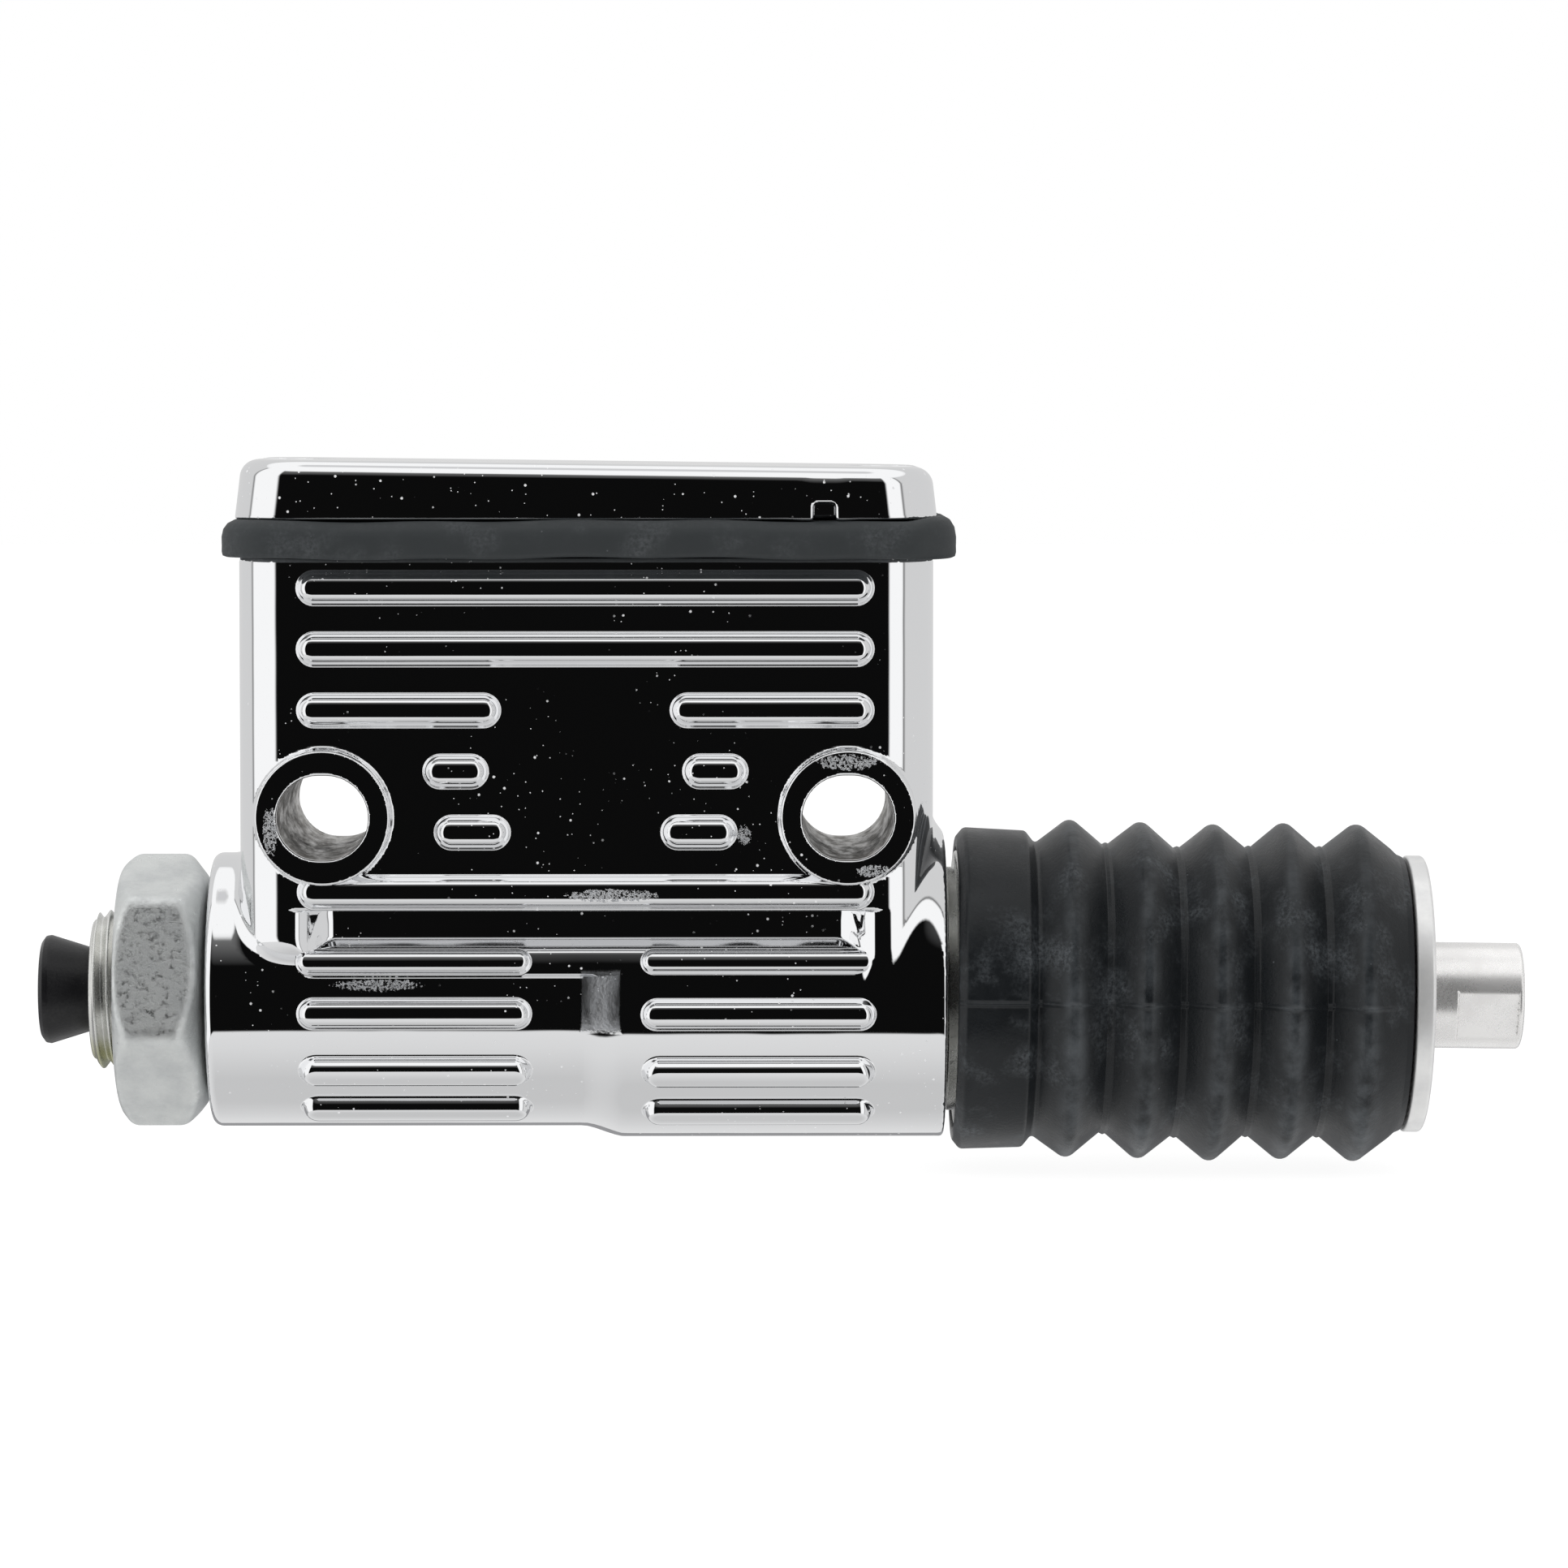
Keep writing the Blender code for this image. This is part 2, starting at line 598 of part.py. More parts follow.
def make_boot():
    """A bellows of even wall, with a bead that grips the flange's groove and a lip under the retainer."""
    inside = [(CUFF_START, FLANGE_R + GAP), (91.9, FLANGE_R + GAP), (91.9, 15.1), (93.9, 15.1),
              (93.9, FLANGE_R + GAP), (FLANGE_END + 0.4, FLANGE_R + GAP),
              (98.6, VALLEY_R - BOOT_WALL)]
    for number in range(PEAKS):
        peak = FIRST_PEAK + number * PEAK_PITCH
        inside.append((peak, PEAK_R - BOOT_WALL * 1.15))
        if number < PEAKS - 1:
            inside.append((peak + PEAK_PITCH / 2, VALLEY_R - BOOT_WALL))
    inside += [(BOOT_END - BOOT_WALL, BOOT_END_R - BOOT_WALL), (BOOT_END - BOOT_WALL, 10.5),
               (BOOT_END, 10.5)]
    return droop(turned("dust_boot", boot_outline() + inside, PARTS, RUBBER, 32), CUFF_MIDDLE)


def make_retainer():
    edge = 0.4
    profile = [(RETAINER_END, 5.0), (RETAINER_END, RETAINER_R - edge), (RETAINER_END - edge, RETAINER_R),
               (RETAINER_START + edge, RETAINER_R), (RETAINER_START, RETAINER_R - edge),
               (RETAINER_START, 5.0)]
    return droop(turned("spring_retainer", profile, PARTS, ZINC), CUFF_MIDDLE)


def make_plug():
    """A soft stem in the port, and a flared grip outside it."""
    start, stem = CARTRIDGE_START, PORT_R - GAP
    profile = [(start + PORT_DEPTH - 0.5, 0), (start + PORT_DEPTH - 0.5, stem - 0.6),
               (start + PORT_DEPTH - 1.3, stem), (start - 2.1, stem),
               (-19.0, 6.4), (-19.8, 6.5), (-20.5, 5.9), (-20.5, 0)]
    return turned("outlet_plug", profile, PARTS, PLASTIC, SMALL_ROUND)


clear_scene()
PARTS = collection("brake_master_cylinder")
CUTTERS = collection("cutters")
CHROME = make_material("chrome", (0.80, 0.81, 0.83), 1.0, 0.06)
ZINC = make_material("zinc_plate", (0.66, 0.68, 0.70), 1.0, 0.32)
STEEL = make_material("spring_steel", (0.30, 0.30, 0.32), 1.0, 0.35)
ALUMINIUM = make_material("anodised_aluminium", (0.60, 0.58, 0.50), 1.0, 0.35)
BRASS = make_material("brass", (0.72, 0.55, 0.28), 1.0, 0.35)
RUBBER = make_material("black_rubber", (0.025, 0.028, 0.030), 0.0, 0.6)
PLASTIC = make_material("soft_black_plastic", (0.022, 0.022, 0.024), 0.0, 0.45)

make_reservoir_body()
make_gasket()
make_cover()
make_cover_screws()
make_cartridge()
make_jam_nut()
make_o_rings()
make_piston()
make_primary_cup()
make_secondary_cup()
make_cup_washer()
make_spring_seat()
make_springs()
make_stop_washer()
make_retaining_ring()
make_pushrod()
make_boot()
make_retainer()
make_plug()
smooth_by_angle([made for made in PARTS.objects if made.type == "MESH"])
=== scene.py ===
"""The looks of a motorcycle's rear brake master cylinder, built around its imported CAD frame.

Shapes are worked out in millimetres, in the frame's own axes: +X along the bore, -Y the front, +Z up.
The cast and machined pieces are drawn from distance functions, the turned ones from their outlines, and
the ribs are shells laid on the cast body.
"""
import json
import math

import bpy
import numpy as np
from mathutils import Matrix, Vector


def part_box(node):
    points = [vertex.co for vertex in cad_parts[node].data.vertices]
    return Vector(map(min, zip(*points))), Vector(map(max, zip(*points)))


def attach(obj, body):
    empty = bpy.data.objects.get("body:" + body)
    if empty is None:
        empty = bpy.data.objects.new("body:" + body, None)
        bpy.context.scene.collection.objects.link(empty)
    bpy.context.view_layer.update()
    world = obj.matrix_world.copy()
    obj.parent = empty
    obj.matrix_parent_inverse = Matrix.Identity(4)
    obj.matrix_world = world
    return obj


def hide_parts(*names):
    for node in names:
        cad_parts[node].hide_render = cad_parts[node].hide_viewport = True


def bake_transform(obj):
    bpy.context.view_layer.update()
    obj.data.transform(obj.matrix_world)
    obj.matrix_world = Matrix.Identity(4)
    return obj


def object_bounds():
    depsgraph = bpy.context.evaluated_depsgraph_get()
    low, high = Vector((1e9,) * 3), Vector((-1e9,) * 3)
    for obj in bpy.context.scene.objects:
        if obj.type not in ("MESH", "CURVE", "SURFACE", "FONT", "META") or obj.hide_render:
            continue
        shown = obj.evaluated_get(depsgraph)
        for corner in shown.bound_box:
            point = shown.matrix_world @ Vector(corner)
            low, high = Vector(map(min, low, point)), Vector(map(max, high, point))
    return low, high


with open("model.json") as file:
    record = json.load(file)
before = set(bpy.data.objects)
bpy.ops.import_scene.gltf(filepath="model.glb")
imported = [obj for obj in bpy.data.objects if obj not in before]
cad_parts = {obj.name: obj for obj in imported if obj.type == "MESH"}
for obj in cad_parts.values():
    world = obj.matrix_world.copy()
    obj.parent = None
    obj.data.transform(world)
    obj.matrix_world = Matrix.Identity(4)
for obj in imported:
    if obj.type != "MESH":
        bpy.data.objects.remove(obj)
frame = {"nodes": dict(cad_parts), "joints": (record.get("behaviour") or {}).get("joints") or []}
CAD_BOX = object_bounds()
MM = 0.001


def box_mm(node):
    """A CAD node's lowest and highest corners, in millimetres."""
    low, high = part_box(node)
    return np.array(low) / MM, np.array(high) / MM


# --- shapes from distance functions ----------------------------------------

def smooth_min(a, b, k):
    """The nearer of two distances, with a fillet about k wide where they meet."""
    h = np.maximum(k - np.abs(a - b), 0) / k
    return np.minimum(a, b) - h * h * k / 4


def smooth_max(a, b, k):
    return -smooth_min(-a, -b, k)


def stadium(u, v, half_length, half_width):
    return np.hypot(np.maximum(np.abs(u) - (half_length - half_width), 0), v) - half_width


def rounded_rectangle(u, v, half_u, half_v, corner):
    across, up = np.abs(u) - half_u + corner, np.abs(v) - half_v + corner
    outside = np.hypot(np.maximum(across, 0), np.maximum(up, 0))
    return outside + np.minimum(np.maximum(across, up), 0) - corner


def extrude(flat, depth, rounding):
    """A solid from a flat outline's distance and the distance past its ends, with rounded edges."""
    a, b = flat + rounding, depth + rounding
    return np.minimum(np.maximum(a, b), 0) + np.hypot(np.maximum(a, 0), np.maximum(b, 0)) - rounding


def rise(value, start, end):
    """0 before start and 1 after end, with a smooth turn between."""
    t = np.clip((value - start) / (end - start), 0, 1)
    return t * t * (3 - 2 * t)


def steps(*stops):
    """Grid positions from (place, spacing), (place, spacing), ... to a last place."""
    places = []
    for (start, spacing), (end, _) in zip(stops, stops[1:]):
        count = max(1, round((end - start) / spacing))
        places.append(np.linspace(start, end, count, endpoint=False))
    return np.concatenate([*places, [stops[-1][0]]])


def slope(distance, points):
    """The gradient of a distance function at each point."""
    reach = 0.02
    found = np.empty_like(points)
    for n in range(3):
        step = np.zeros(3)
        step[n] = reach
        found[:, n] = (distance(*(points + step).T) - distance(*(points - step).T)) / (2 * reach)
    return found


def onto_surface(distance, points, rounds):
    longest = 0.3
    for _ in range(rounds):
        away = slope(distance, points)
        size = np.maximum((away * away).sum(axis=1), 0.2)
        move = (distance(*points.T) / size)[:, None] * away
        points = points - np.clip(move, -longest, longest)
    return points


def relaxed(points, quads):
    """Each point moved half way to the middle of its neighbours."""
    total, count = np.zeros_like(points), np.zeros(len(points))
    for near, far in ((0, 1), (1, 2), (2, 3), (3, 0)):
        for a, b in ((near, far), (far, near)):
            for n in range(3):
                total[:, n] += np.bincount(quads[:, a], points[quads[:, b], n], len(points))
            count += np.bincount(quads[:, a], minlength=len(points))
    return (points + total / np.maximum(count, 1)[:, None]) / 2


def skin(distance, xs, ys, zs):
    """The surface where distance is zero: a point in each grid cell that it passes through, and a quad
    across each grid edge that it crosses. Returns points, quads and normals."""
    inside = distance(xs[:, None, None], ys[None, :, None], zs[None, None, :]) < 0
    cells = tuple(n - 1 for n in inside.shape)
    some, every = np.zeros(cells, bool), np.ones(cells, bool)
    for i in (0, 1):
        for j in (0, 1):
            for k in (0, 1):
                corner = inside[i:i + cells[0], j:j + cells[1], k:k + cells[2]]
                some |= corner
                every &= corner
    crossed = some & ~every
    number = np.full(cells, -1)
    number[crossed] = np.arange(crossed.sum())
    where = np.argwhere(crossed)
    middles = [(axis[:-1] + axis[1:]) / 2 for axis in (xs, ys, zs)]
    points = np.stack([middles[n][where[:, n]] for n in range(3)], axis=1)
    quads = []
    for a in range(3):
        order = (a, (a + 1) % 3, (a + 2) % 3)
        state, cell = np.transpose(inside, order), np.transpose(number, order)
        near, far = state[:-1, 1:-1, 1:-1], state[1:, 1:-1, 1:-1]
        i, j, k = np.nonzero(near != far)
        loop = np.stack([cell[i, j, k], cell[i, j + 1, k], cell[i, j + 1, k + 1], cell[i, j, k + 1]], axis=1)
        backward = ~near[i, j, k]
        loop[backward] = loop[backward][:, ::-1]
        quads.append(loop)
    quads = np.concatenate(quads)
    points = onto_surface(distance, points, 4)
    for _ in range(2):
        points = onto_surface(distance, relaxed(points, quads), 3)
    normals = slope(distance, points)
    return points, quads, normals / np.linalg.norm(normals, axis=1)[:, None]


def mesh_object(name, points, faces, normals=None):
    """A smooth-shaded object from points in millimetres."""
    mesh = bpy.data.meshes.new(name)
    mesh.from_pydata((np.asarray(points) * MM).tolist(), [], [list(f) for f in faces])
    mesh.shade_smooth()
    if normals is not None:
        mesh.normals_split_custom_set_from_vertices(np.asarray(normals).tolist())
    made = bpy.data.objects.new(name, mesh)
    bpy.context.scene.collection.objects.link(made)
    return made


def skin_object(name, distance, xs, ys, zs):
    points, quads, normals = skin(distance, xs, ys, zs)
    return mesh_object(name, points, quads, normals)


# --- turned shapes -----------------------------------------------------------

def lathe(name, outline, around, radius_at=None, closer=0.0):
    """A shape turned about +X from (along, radius) points. An outline that starts or ends on the axis
    closes there, and any other is a ring, whose last point joins its first. Closer, up to 1, draws the
    points round each turn together at the front and the back."""
    outline = np.asarray(outline, float)
    closed = outline[0, 1] > 1e-6
    body = outline if closed else outline[1:-1]
    angles = np.linspace(0, 2 * math.pi, around, endpoint=False)
    angles = angles - closer * np.sin(2 * angles) / 2
    along = np.repeat(body[:, :1], around, axis=1)
    radius = np.repeat(body[:, 1:], around, axis=1)
    if radius_at:
        radius = radius_at(along, radius, angles[None, :])
    rings = np.stack([along, -radius * np.cos(angles), radius * np.sin(angles)], axis=2)
    points = rings.reshape(-1, 3).tolist()
    rows = len(body)
    faces = []
    for row in range(rows if closed else rows - 1):
        for step in range(around):
            after, below = (step + 1) % around, (row + 1) % rows
            faces.append((row * around + step, row * around + after,
                          below * around + after, below * around + step))
    if not closed:
        for end, ring in ((0, 0), (-1, rows - 1)):
            points.append((outline[end, 0], 0, 0))
            for step in range(around):
                edge = (ring * around + step, ring * around + (step + 1) % around)
                faces.append((len(points) - 1, *(edge if end else edge[::-1])))
    return mesh_object(name, points, faces)


def rounded_outline(points, pieces=6):
    """An outline whose corners are arcs. Each point is (along, radius, corner radius)."""
    outline = []
    places = [Vector(p[:2]) for p in points]
    for n, point in enumerate(points):
        here, size = places[n], point[2] if len(point) > 2 else 0
        if not size or n in (0, len(points) - 1) and points[0][1] < 1e-6:
            outline.append(tuple(here))
            continue
        back = (places[n - 1] - here).normalized()
        ahead = (places[(n + 1) % len(places)] - here).normalized()
        half = back.angle(ahead) / 2
        cut = size / math.tan(half)
        centre = here + (back + ahead).normalized() * size / math.sin(half)
        start, end = here + back * cut - centre, here + ahead * cut - centre
        turn = start.angle_signed(end)
        for i in range(pieces + 1):
            a = -turn * i / pieces
            outline.append((centre.x + start.x * math.cos(a) - start.y * math.sin(a),
                            centre.y + start.x * math.sin(a) + start.y * math.cos(a)))
    return outline


# --- where things are ---------------------------------------------------------

BODY_HIGH = box_mm("reservoir_body")[1]
GASKET_LOW, GASKET_HIGH = box_mm("cover_gasket")
COVER_LOW, COVER_HIGH = box_mm("reservoir_cover")
NUT_LOW, NUT_HIGH = box_mm("jam_nut")
CARTRIDGE_LOW, CARTRIDGE_HIGH = box_mm("cartridge_body")
PLUG_LOW, PLUG_HIGH = box_mm("outlet_plug")

BARREL_END = BODY_HIGH[0]
NOSE_R = 16.4
REAR_R = 17.7
STEP = (44.4, 49.0)            # where the barrel climbs from the nose's radius to the rear's
MIDDLE = (GASKET_LOW[0] + GASKET_HIGH[0]) / 2
RESERVOIR_BOTTOM = 5.0
RESERVOIR_TOP = BODY_HIGH[2]
RESERVOIR_HALF = 40.85         # half its length
RESERVOIR_CORNER = 7.5
FRONT = 18.6                   # how far the reservoir's front is from the bore's axis
SLOT_DEPTH = 14.7              # how far the slot's floor is
SLOT_CLIMB = 3.9               # its rise at each end
BOSS_OFFSET = 30.65            # of each mounting hole from the middle
BOSS_Z = 21.9
BOSS_FACE = BODY_HIGH[1]
RIB_HALF = 2.15
RIB_PITCH = 7.13
TOP_RIB_Z = 48.65
FULL_RIB = 33.8                # half the length of a rib right across the front
BARREL_RIB = 13.9              # half the length of one along the barrel
BARREL_RIB_OFFSET = 20.2
# the barrel's rows: the arc length up from straight in front, and half the width
BARREL_RIBS = ((4.85, 1.62), (-1.35, 2.0), (-8.75, 2.3), (-15.1, 2.35))
# the slope of a rib's side, in degrees, at each distance from its middle
RIB_SLOPES = ((2.15, 4), (2.08, 20), (2.0, 42), (1.93, 60), (1.82, 70), (1.62, 64), (1.46, 57), (1.3, 50),
              (1.15, 39), (1.0, 27), (0.85, 18), (0.7, 12), (0.5, 8), (0.3, 4.5), (0.1, 1.5))
SPIN = next(joint for joint in frame["joints"] if joint["name"] == "pushrod_spin")
DROOP = math.atan2(-SPIN["axis"][2], SPIN["axis"][0])      # the booted end hangs down a little
BALL_X = SPIN["pos_m"][0] / MM
CUFF_MIDDLE = 93.0


# --- reservoir body -----------------------------------------------------------

def barrel_radius(x, z):
    """The narrow nose, the step up to the rear, and the pad above the nose that is as wide as the rear."""
    pad = rise(z, 3.0, 3.4) * rise(x, 11.5, 13.5)
    climb = 0.5 * (np.clip((x - STEP[0]) / (STEP[1] - STEP[0]), 0, 1) + rise(x, *STEP))
    return NOSE_R + (REAR_R - NOSE_R) * np.maximum(climb, pad)


def barrel(x, y, z):
    edge = np.where(x < MIDDLE, 1.3, 0.6)
    past_end = np.abs(x - BARREL_END / 2) - BARREL_END / 2
    return extrude(np.hypot(y, z) - barrel_radius(x, z), past_end, edge)


def reservoir_bottom(x):
    """The right end goes on down until it runs out on the barrel."""
    return RESERVOIR_BOTTOM - 6 * rise(x, 75, 79)


def reservoir_half_depth(z):
    """The walls lean in a little towards the top, and below they run out on the barrel."""
    return FRONT - 0.35 * np.clip((z - RESERVOIR_BOTTOM) / 47, 0, 1) - 1.3 * rise(6 - z, 0, 6)


def reservoir(x, y, z):
    walls = rounded_rectangle(x - MIDDLE, y, RESERVOIR_HALF, reservoir_half_depth(z), RESERVOIR_CORNER)
    past_end = np.maximum(reservoir_bottom(x) - z, z - RESERVOIR_TOP)
    return extrude(walls, past_end, np.where(z < 30, 3.0, 0.4))


def tube_faces(rows, around):
    """Quads between rows of points that each go round, and a cap at each end."""
    faces = []
    for start in range(0, (rows - 1) * around, around):
        for i in range(around):
            here, after = start + i, start + (i + 1) % around
            faces.append((here, after, after + around, here + around))
    last = (rows - 1) * around
    return [*faces, tuple(reversed(range(around))), tuple(range(last, last + around))]


def rib_rings(half_length, half_width):
    """Rings of (along, across, proud) round a rib, from under its foot to its crown, and the way each
    point faces. It is drawn lower than its slopes make it, and shaded by the slopes."""
    lowered, foot = 0.75, -0.35
    outer, turned = RIB_SLOPES[0][0], 17
    width = np.array([outer, *[at for at, _ in RIB_SLOPES]]) * half_width / outer
    tilt = np.radians([90, *[degrees for _, degrees in RIB_SLOPES]])
    grade = np.tan(tilt[1:])
    climbs = -np.diff(width[1:]) * (grade[1:] + grade[:-1]) / 2
    proud = lowered * np.concatenate([[0], np.cumsum(climbs)])
    proud = np.array([foot, *proud])
    turns = np.concatenate([np.linspace(-90, 90, turned), np.linspace(90, 270, turned)])
    out = np.stack([np.cos(np.radians(turns)), np.sin(np.radians(turns))], axis=1)
    end = np.repeat([1, -1], turned) * (half_length - half_width)
    rings = np.empty((len(width), 2 * turned, 3))
    rings[:, :, 0] = end + width[:, None] * out[:, 0]
    rings[:, :, 1] = width[:, None] * out[:, 1]
    rings[:, :, 2] = proud[:, None]
    facing = np.empty_like(rings)
    facing[:, :, :2] = np.sin(tilt)[:, None, None] * out
    facing[:, :, 2] = np.cos(tilt)[:, None]
    return rings, facing


def rib_shell(half_length, half_width, laid):
    """A rib as points, faces and normals. Laid turns (along, across, proud) into a place on the body."""
    rings, facing = rib_rings(half_length, half_width)
    rows, around = rings.shape[:2]
    flat, reach = rings.reshape(-1, 3), 0.01
    points = laid(*flat.T)
    normals = np.zeros_like(points)
    for n in range(3):
        step = np.zeros(3)
        step[n] = reach
        normals += facing.reshape(-1, 3)[:, n:n + 1] * (laid(*(flat + step).T) - points) / reach
    return points, tube_faces(rows, around), normals / np.linalg.norm(normals, axis=1)[:, None]


def face_rib(middle, height):
    """Where a rib lies on the reservoir's flat front."""
    def laid(along, across, proud):
        z = height + across
        return np.stack([middle + along, -reservoir_half_depth(z) - proud, z], axis=1)
    return laid


def barrel_rib(middle, height, surface):
    """Where a rib lies on the barrel. Height is an arc length up from straight in front."""
    def laid(along, across, proud):
        turn, radius = (height + across) / surface, surface + proud
        return np.stack([middle + along, -radius * np.cos(turn), radius * np.sin(turn)], axis=1)
    return laid


def all_ribs():
    """Six rows across the flat front, some in two halves, and four rows in two halves along the barrel.
    Each front row is the pitches down to it, and where each half starts and ends from the middle."""
    rows = [(0, 0, FULL_RIB), (1, 0, FULL_RIB), (2, 9.75, FULL_RIB), (3, 11.2, 19.1), (4, 8.65, 17.8),
            (4.98, 0, FULL_RIB)]
    made = []
    for row, start, end in rows:
        height = TOP_RIB_Z - row * RIB_PITCH
        if not start:
            made.append(rib_shell(end, RIB_HALF, face_rib(MIDDLE, height)))
            continue
        for side in (-1, 1):
            laid = face_rib(MIDDLE + side * (start + end) / 2, height)
            made.append(rib_shell((end - start) / 2, RIB_HALF, laid))
    for row, (height, half) in enumerate(BARREL_RIBS):
        for side in (-1, 1):
            surface = NOSE_R if side < 0 and row else REAR_R
            laid = barrel_rib(MIDDLE + side * BARREL_RIB_OFFSET, height, surface)
            made.append(rib_shell(BARREL_RIB, half, laid))
    return made


def slot_floor(x):
    """The depth of the front between the reservoir and the barrel: level, with a slope up at each end."""
    return SLOT_DEPTH + SLOT_CLIMB * rise(np.abs(x - MIDDLE), 29.3, 34.6)


def front_slot(x, y, z):
    """The recess between the reservoir's lower edge and the barrel."""
    top = 10.8
    lower = 7.35 - 0.62 * (-y - SLOT_DEPTH) - z
    return smooth_max(smooth_max(z - top, lower, 0.3), y + slot_floor(x), 0.3)


def reservoir_undercut(x, y, z):
    """Below the slot's top the reservoir's front is cut back inside the barrel, between its corners."""
    top = 10.7
    return smooth_max(z - top, y + slot_floor(x), 0.3)


def mount_hole(x, z):
    """Both bolt holes, which are a little longer than they are high."""
    return stadium(np.abs(x - MIDDLE) - BOSS_OFFSET, z - BOSS_Z, 5.35, 4.95)


def boss(x, y, z):
    """The round pads that both holes go through, front and back."""
    radius = 7.85 + 0.2 * np.clip((BOSS_FACE - np.abs(y)) / 2, 0, 1)
    return extrude(np.hypot(np.abs(x - MIDDLE) - BOSS_OFFSET, z - BOSS_Z) - radius,
                   np.abs(y) - BOSS_FACE, 0.3)


def body_distance(x, y, z):
    """The whole casting but its ribs, with a short mouth at each end of its bore."""
    nose_bore, rear_bore, mouth = 9.85, 12, 3
    fillet = 1.6 + 4.0 * rise(x - MIDDLE, 36, 42)
    tank = smooth_max(reservoir(x, y, z), -reservoir_undercut(x, y, z), 0.5)
    shape = smooth_min(barrel(x, y, z), tank, fillet)
    shape = smooth_max(shape, -front_slot(x, y, z), 0.4)
    shape = smooth_min(shape, boss(x, y, z), 0.35)
    shape = smooth_max(shape, -mount_hole(x, z), 0.35)
    shape = smooth_max(shape, np.abs(x - BARREL_END / 2) - BARREL_END / 2, 0.4)
    radius = np.hypot(y, z)
    shape = np.maximum(shape, -np.maximum(radius - nose_bore, x - mouth))
    return np.maximum(shape, -np.maximum(radius - rear_bore, BARREL_END - mouth - x))


def make_body():
    """The casting's skin, fine round its bosses and slot, and the ribs that stand on it."""
    xs = steps((-0.6, 0.3), (2, 0.5), (6.5, 0.38), (24.5, 1.4), (42, 0.8), (51, 1.4), (67.5, 0.38),
               (85, 0.45), (BARREL_END + 0.6, 0))
    ys = steps((-21.6, 0.38), (-13.8, 1.3), (13, 0.8), (21.6, 0))
    zs = steps((-19.2, 0.55), (2.5, 0.38), (30.5, 1.0), (49, 0.6), (53, 0))
    parts = [skin(body_distance, xs, ys, zs), *all_ribs()]
    faces, before = [], 0
    for points, part_faces, _ in parts:
        faces += [tuple(int(n) + before for n in face) for face in part_faces]
        before += len(points)
    return mesh_object("reservoir_body_cast", np.concatenate([part[0] for part in parts]), faces,
                       np.concatenate([part[2] for part in parts]))


# --- cover --------------------------------------------------------------------

COVER_HALF = (COVER_HIGH - COVER_LOW) / 2
NOTCH_X = 72.9
SCREW_OFFSET = 35.5


def cover_top(x):
    """The cover's top falls a little from left to right."""
    return COVER_HIGH[2] - (x - COVER_LOW[0]) / (2 * COVER_HALF[0])


def cover_distance(x, y, z):
    """Walls that lean in, a rounded top edge, the vent notch with its raised lip, and the screws' sinks."""
    lean = 0.8 * np.clip((z - COVER_LOW[2]) / 7, 0, 1)
    walls = rounded_rectangle(x - MIDDLE, y, COVER_HALF[0] - lean, COVER_HALF[1] - lean, 8)
    up = z - cover_top(x)
    shape = extrude(walls, np.maximum(up, COVER_LOW[2] - z), np.where(up > -3.4, 1.9, 0.3))
    along, above = np.abs(x - NOTCH_X), z - COVER_LOW[2]
    lip = np.hypot(np.maximum(along - 1.0, 0), np.maximum(above - 1.6, 0)) - 1.3
    shape = shape - 0.14 * rise(-lip, -2.2, 0) * rise(-y, 15, 18)
    notch = smooth_max(along - 1.25, above - 1.95, 0.6)
    shape = smooth_max(shape, -np.maximum(notch, y + 16), 0.5)
    sink = np.hypot(np.abs(x - MIDDLE) - SCREW_OFFSET, y) - 4.75
    return smooth_max(shape, -np.maximum(sink, -up - 2.2), 0.35)


def make_cover():
    low, high = COVER_LOW[0] - 0.6, COVER_HIGH[0] + 0.6
    xs = steps((low, 0.4), (16, 1.2), (64, 0.5), (high, 0))
    ys = steps((-COVER_HALF[1] - 1, 0.4), (-12, 1.0), (-6, 0.5), (6, 1.0), (12, 0.5),
               (COVER_HALF[1] + 1, 0))
    zs = steps((COVER_LOW[2] - 0.5, 0.3), (COVER_HIGH[2] + 0.6, 0))
    return skin_object("reservoir_cover_cast", cover_distance, xs, ys, zs)


def screw_distance(x, y, z):
    """A countersunk head with a cross recess, on a plain shank."""
    radius = np.hypot(x, y)
    head = extrude(radius - np.clip(4.4 + (z + 0.4), 2.4, 4.4), np.abs(z + 11) - 11, 0.2)
    u, v = np.abs(x), np.abs(y)
    depth = 0.45 * np.clip(-z, 0, 3)
    cross = np.minimum(np.maximum(u - 2.3 + depth, v - 0.55), np.maximum(v - 2.3 + depth, u - 0.55))
    return smooth_max(head, -np.maximum(cross, -z - 2.2), 0.15)


def make_cover_screw(side, x):
    top = cover_top(x) - 0.5
    near = steps((-4.8, 0.22), (4.8, 0))
    zs = steps((-22.6, 1.5), (-3.2, 0.2), (0.4, 0))
    points, quads, normals = skin(screw_distance, near, near, zs)
    return mesh_object(f"cover_screw_{side}_turned", points + (x, 0, top), quads, normals)


# --- nut, cartridge and plug ----------------------------------------------------

def nut_distance(x, y, z):
    """Three pairs of flats, chamfered at both ends, round the nose's thread."""
    flats, hole = 29.1, 9.8
    turn = math.radians(15)
    shape = -1e3
    for side in range(3):
        a = turn + side * math.pi / 3
        shape = smooth_max(shape, np.abs(z * math.sin(a) - y * math.cos(a)) - flats / 2, 1.1)
    radius = np.hypot(y, z)
    outward, inward = NUT_LOW[0] - x, x - NUT_HIGH[0]
    ends = np.maximum(outward, inward)
    shape = smooth_max(shape, ends, 0.4)
    shape = smooth_max(shape, 0.6 * (radius - 14.4 + 1.3 * outward), 0.7)
    shape = smooth_max(shape, 0.6 * (radius - 13.1 + 1.3 * inward), 0.7)
    return smooth_max(shape, hole - radius + 0.5 * np.clip(ends + 0.8, 0, 1), 0.3)


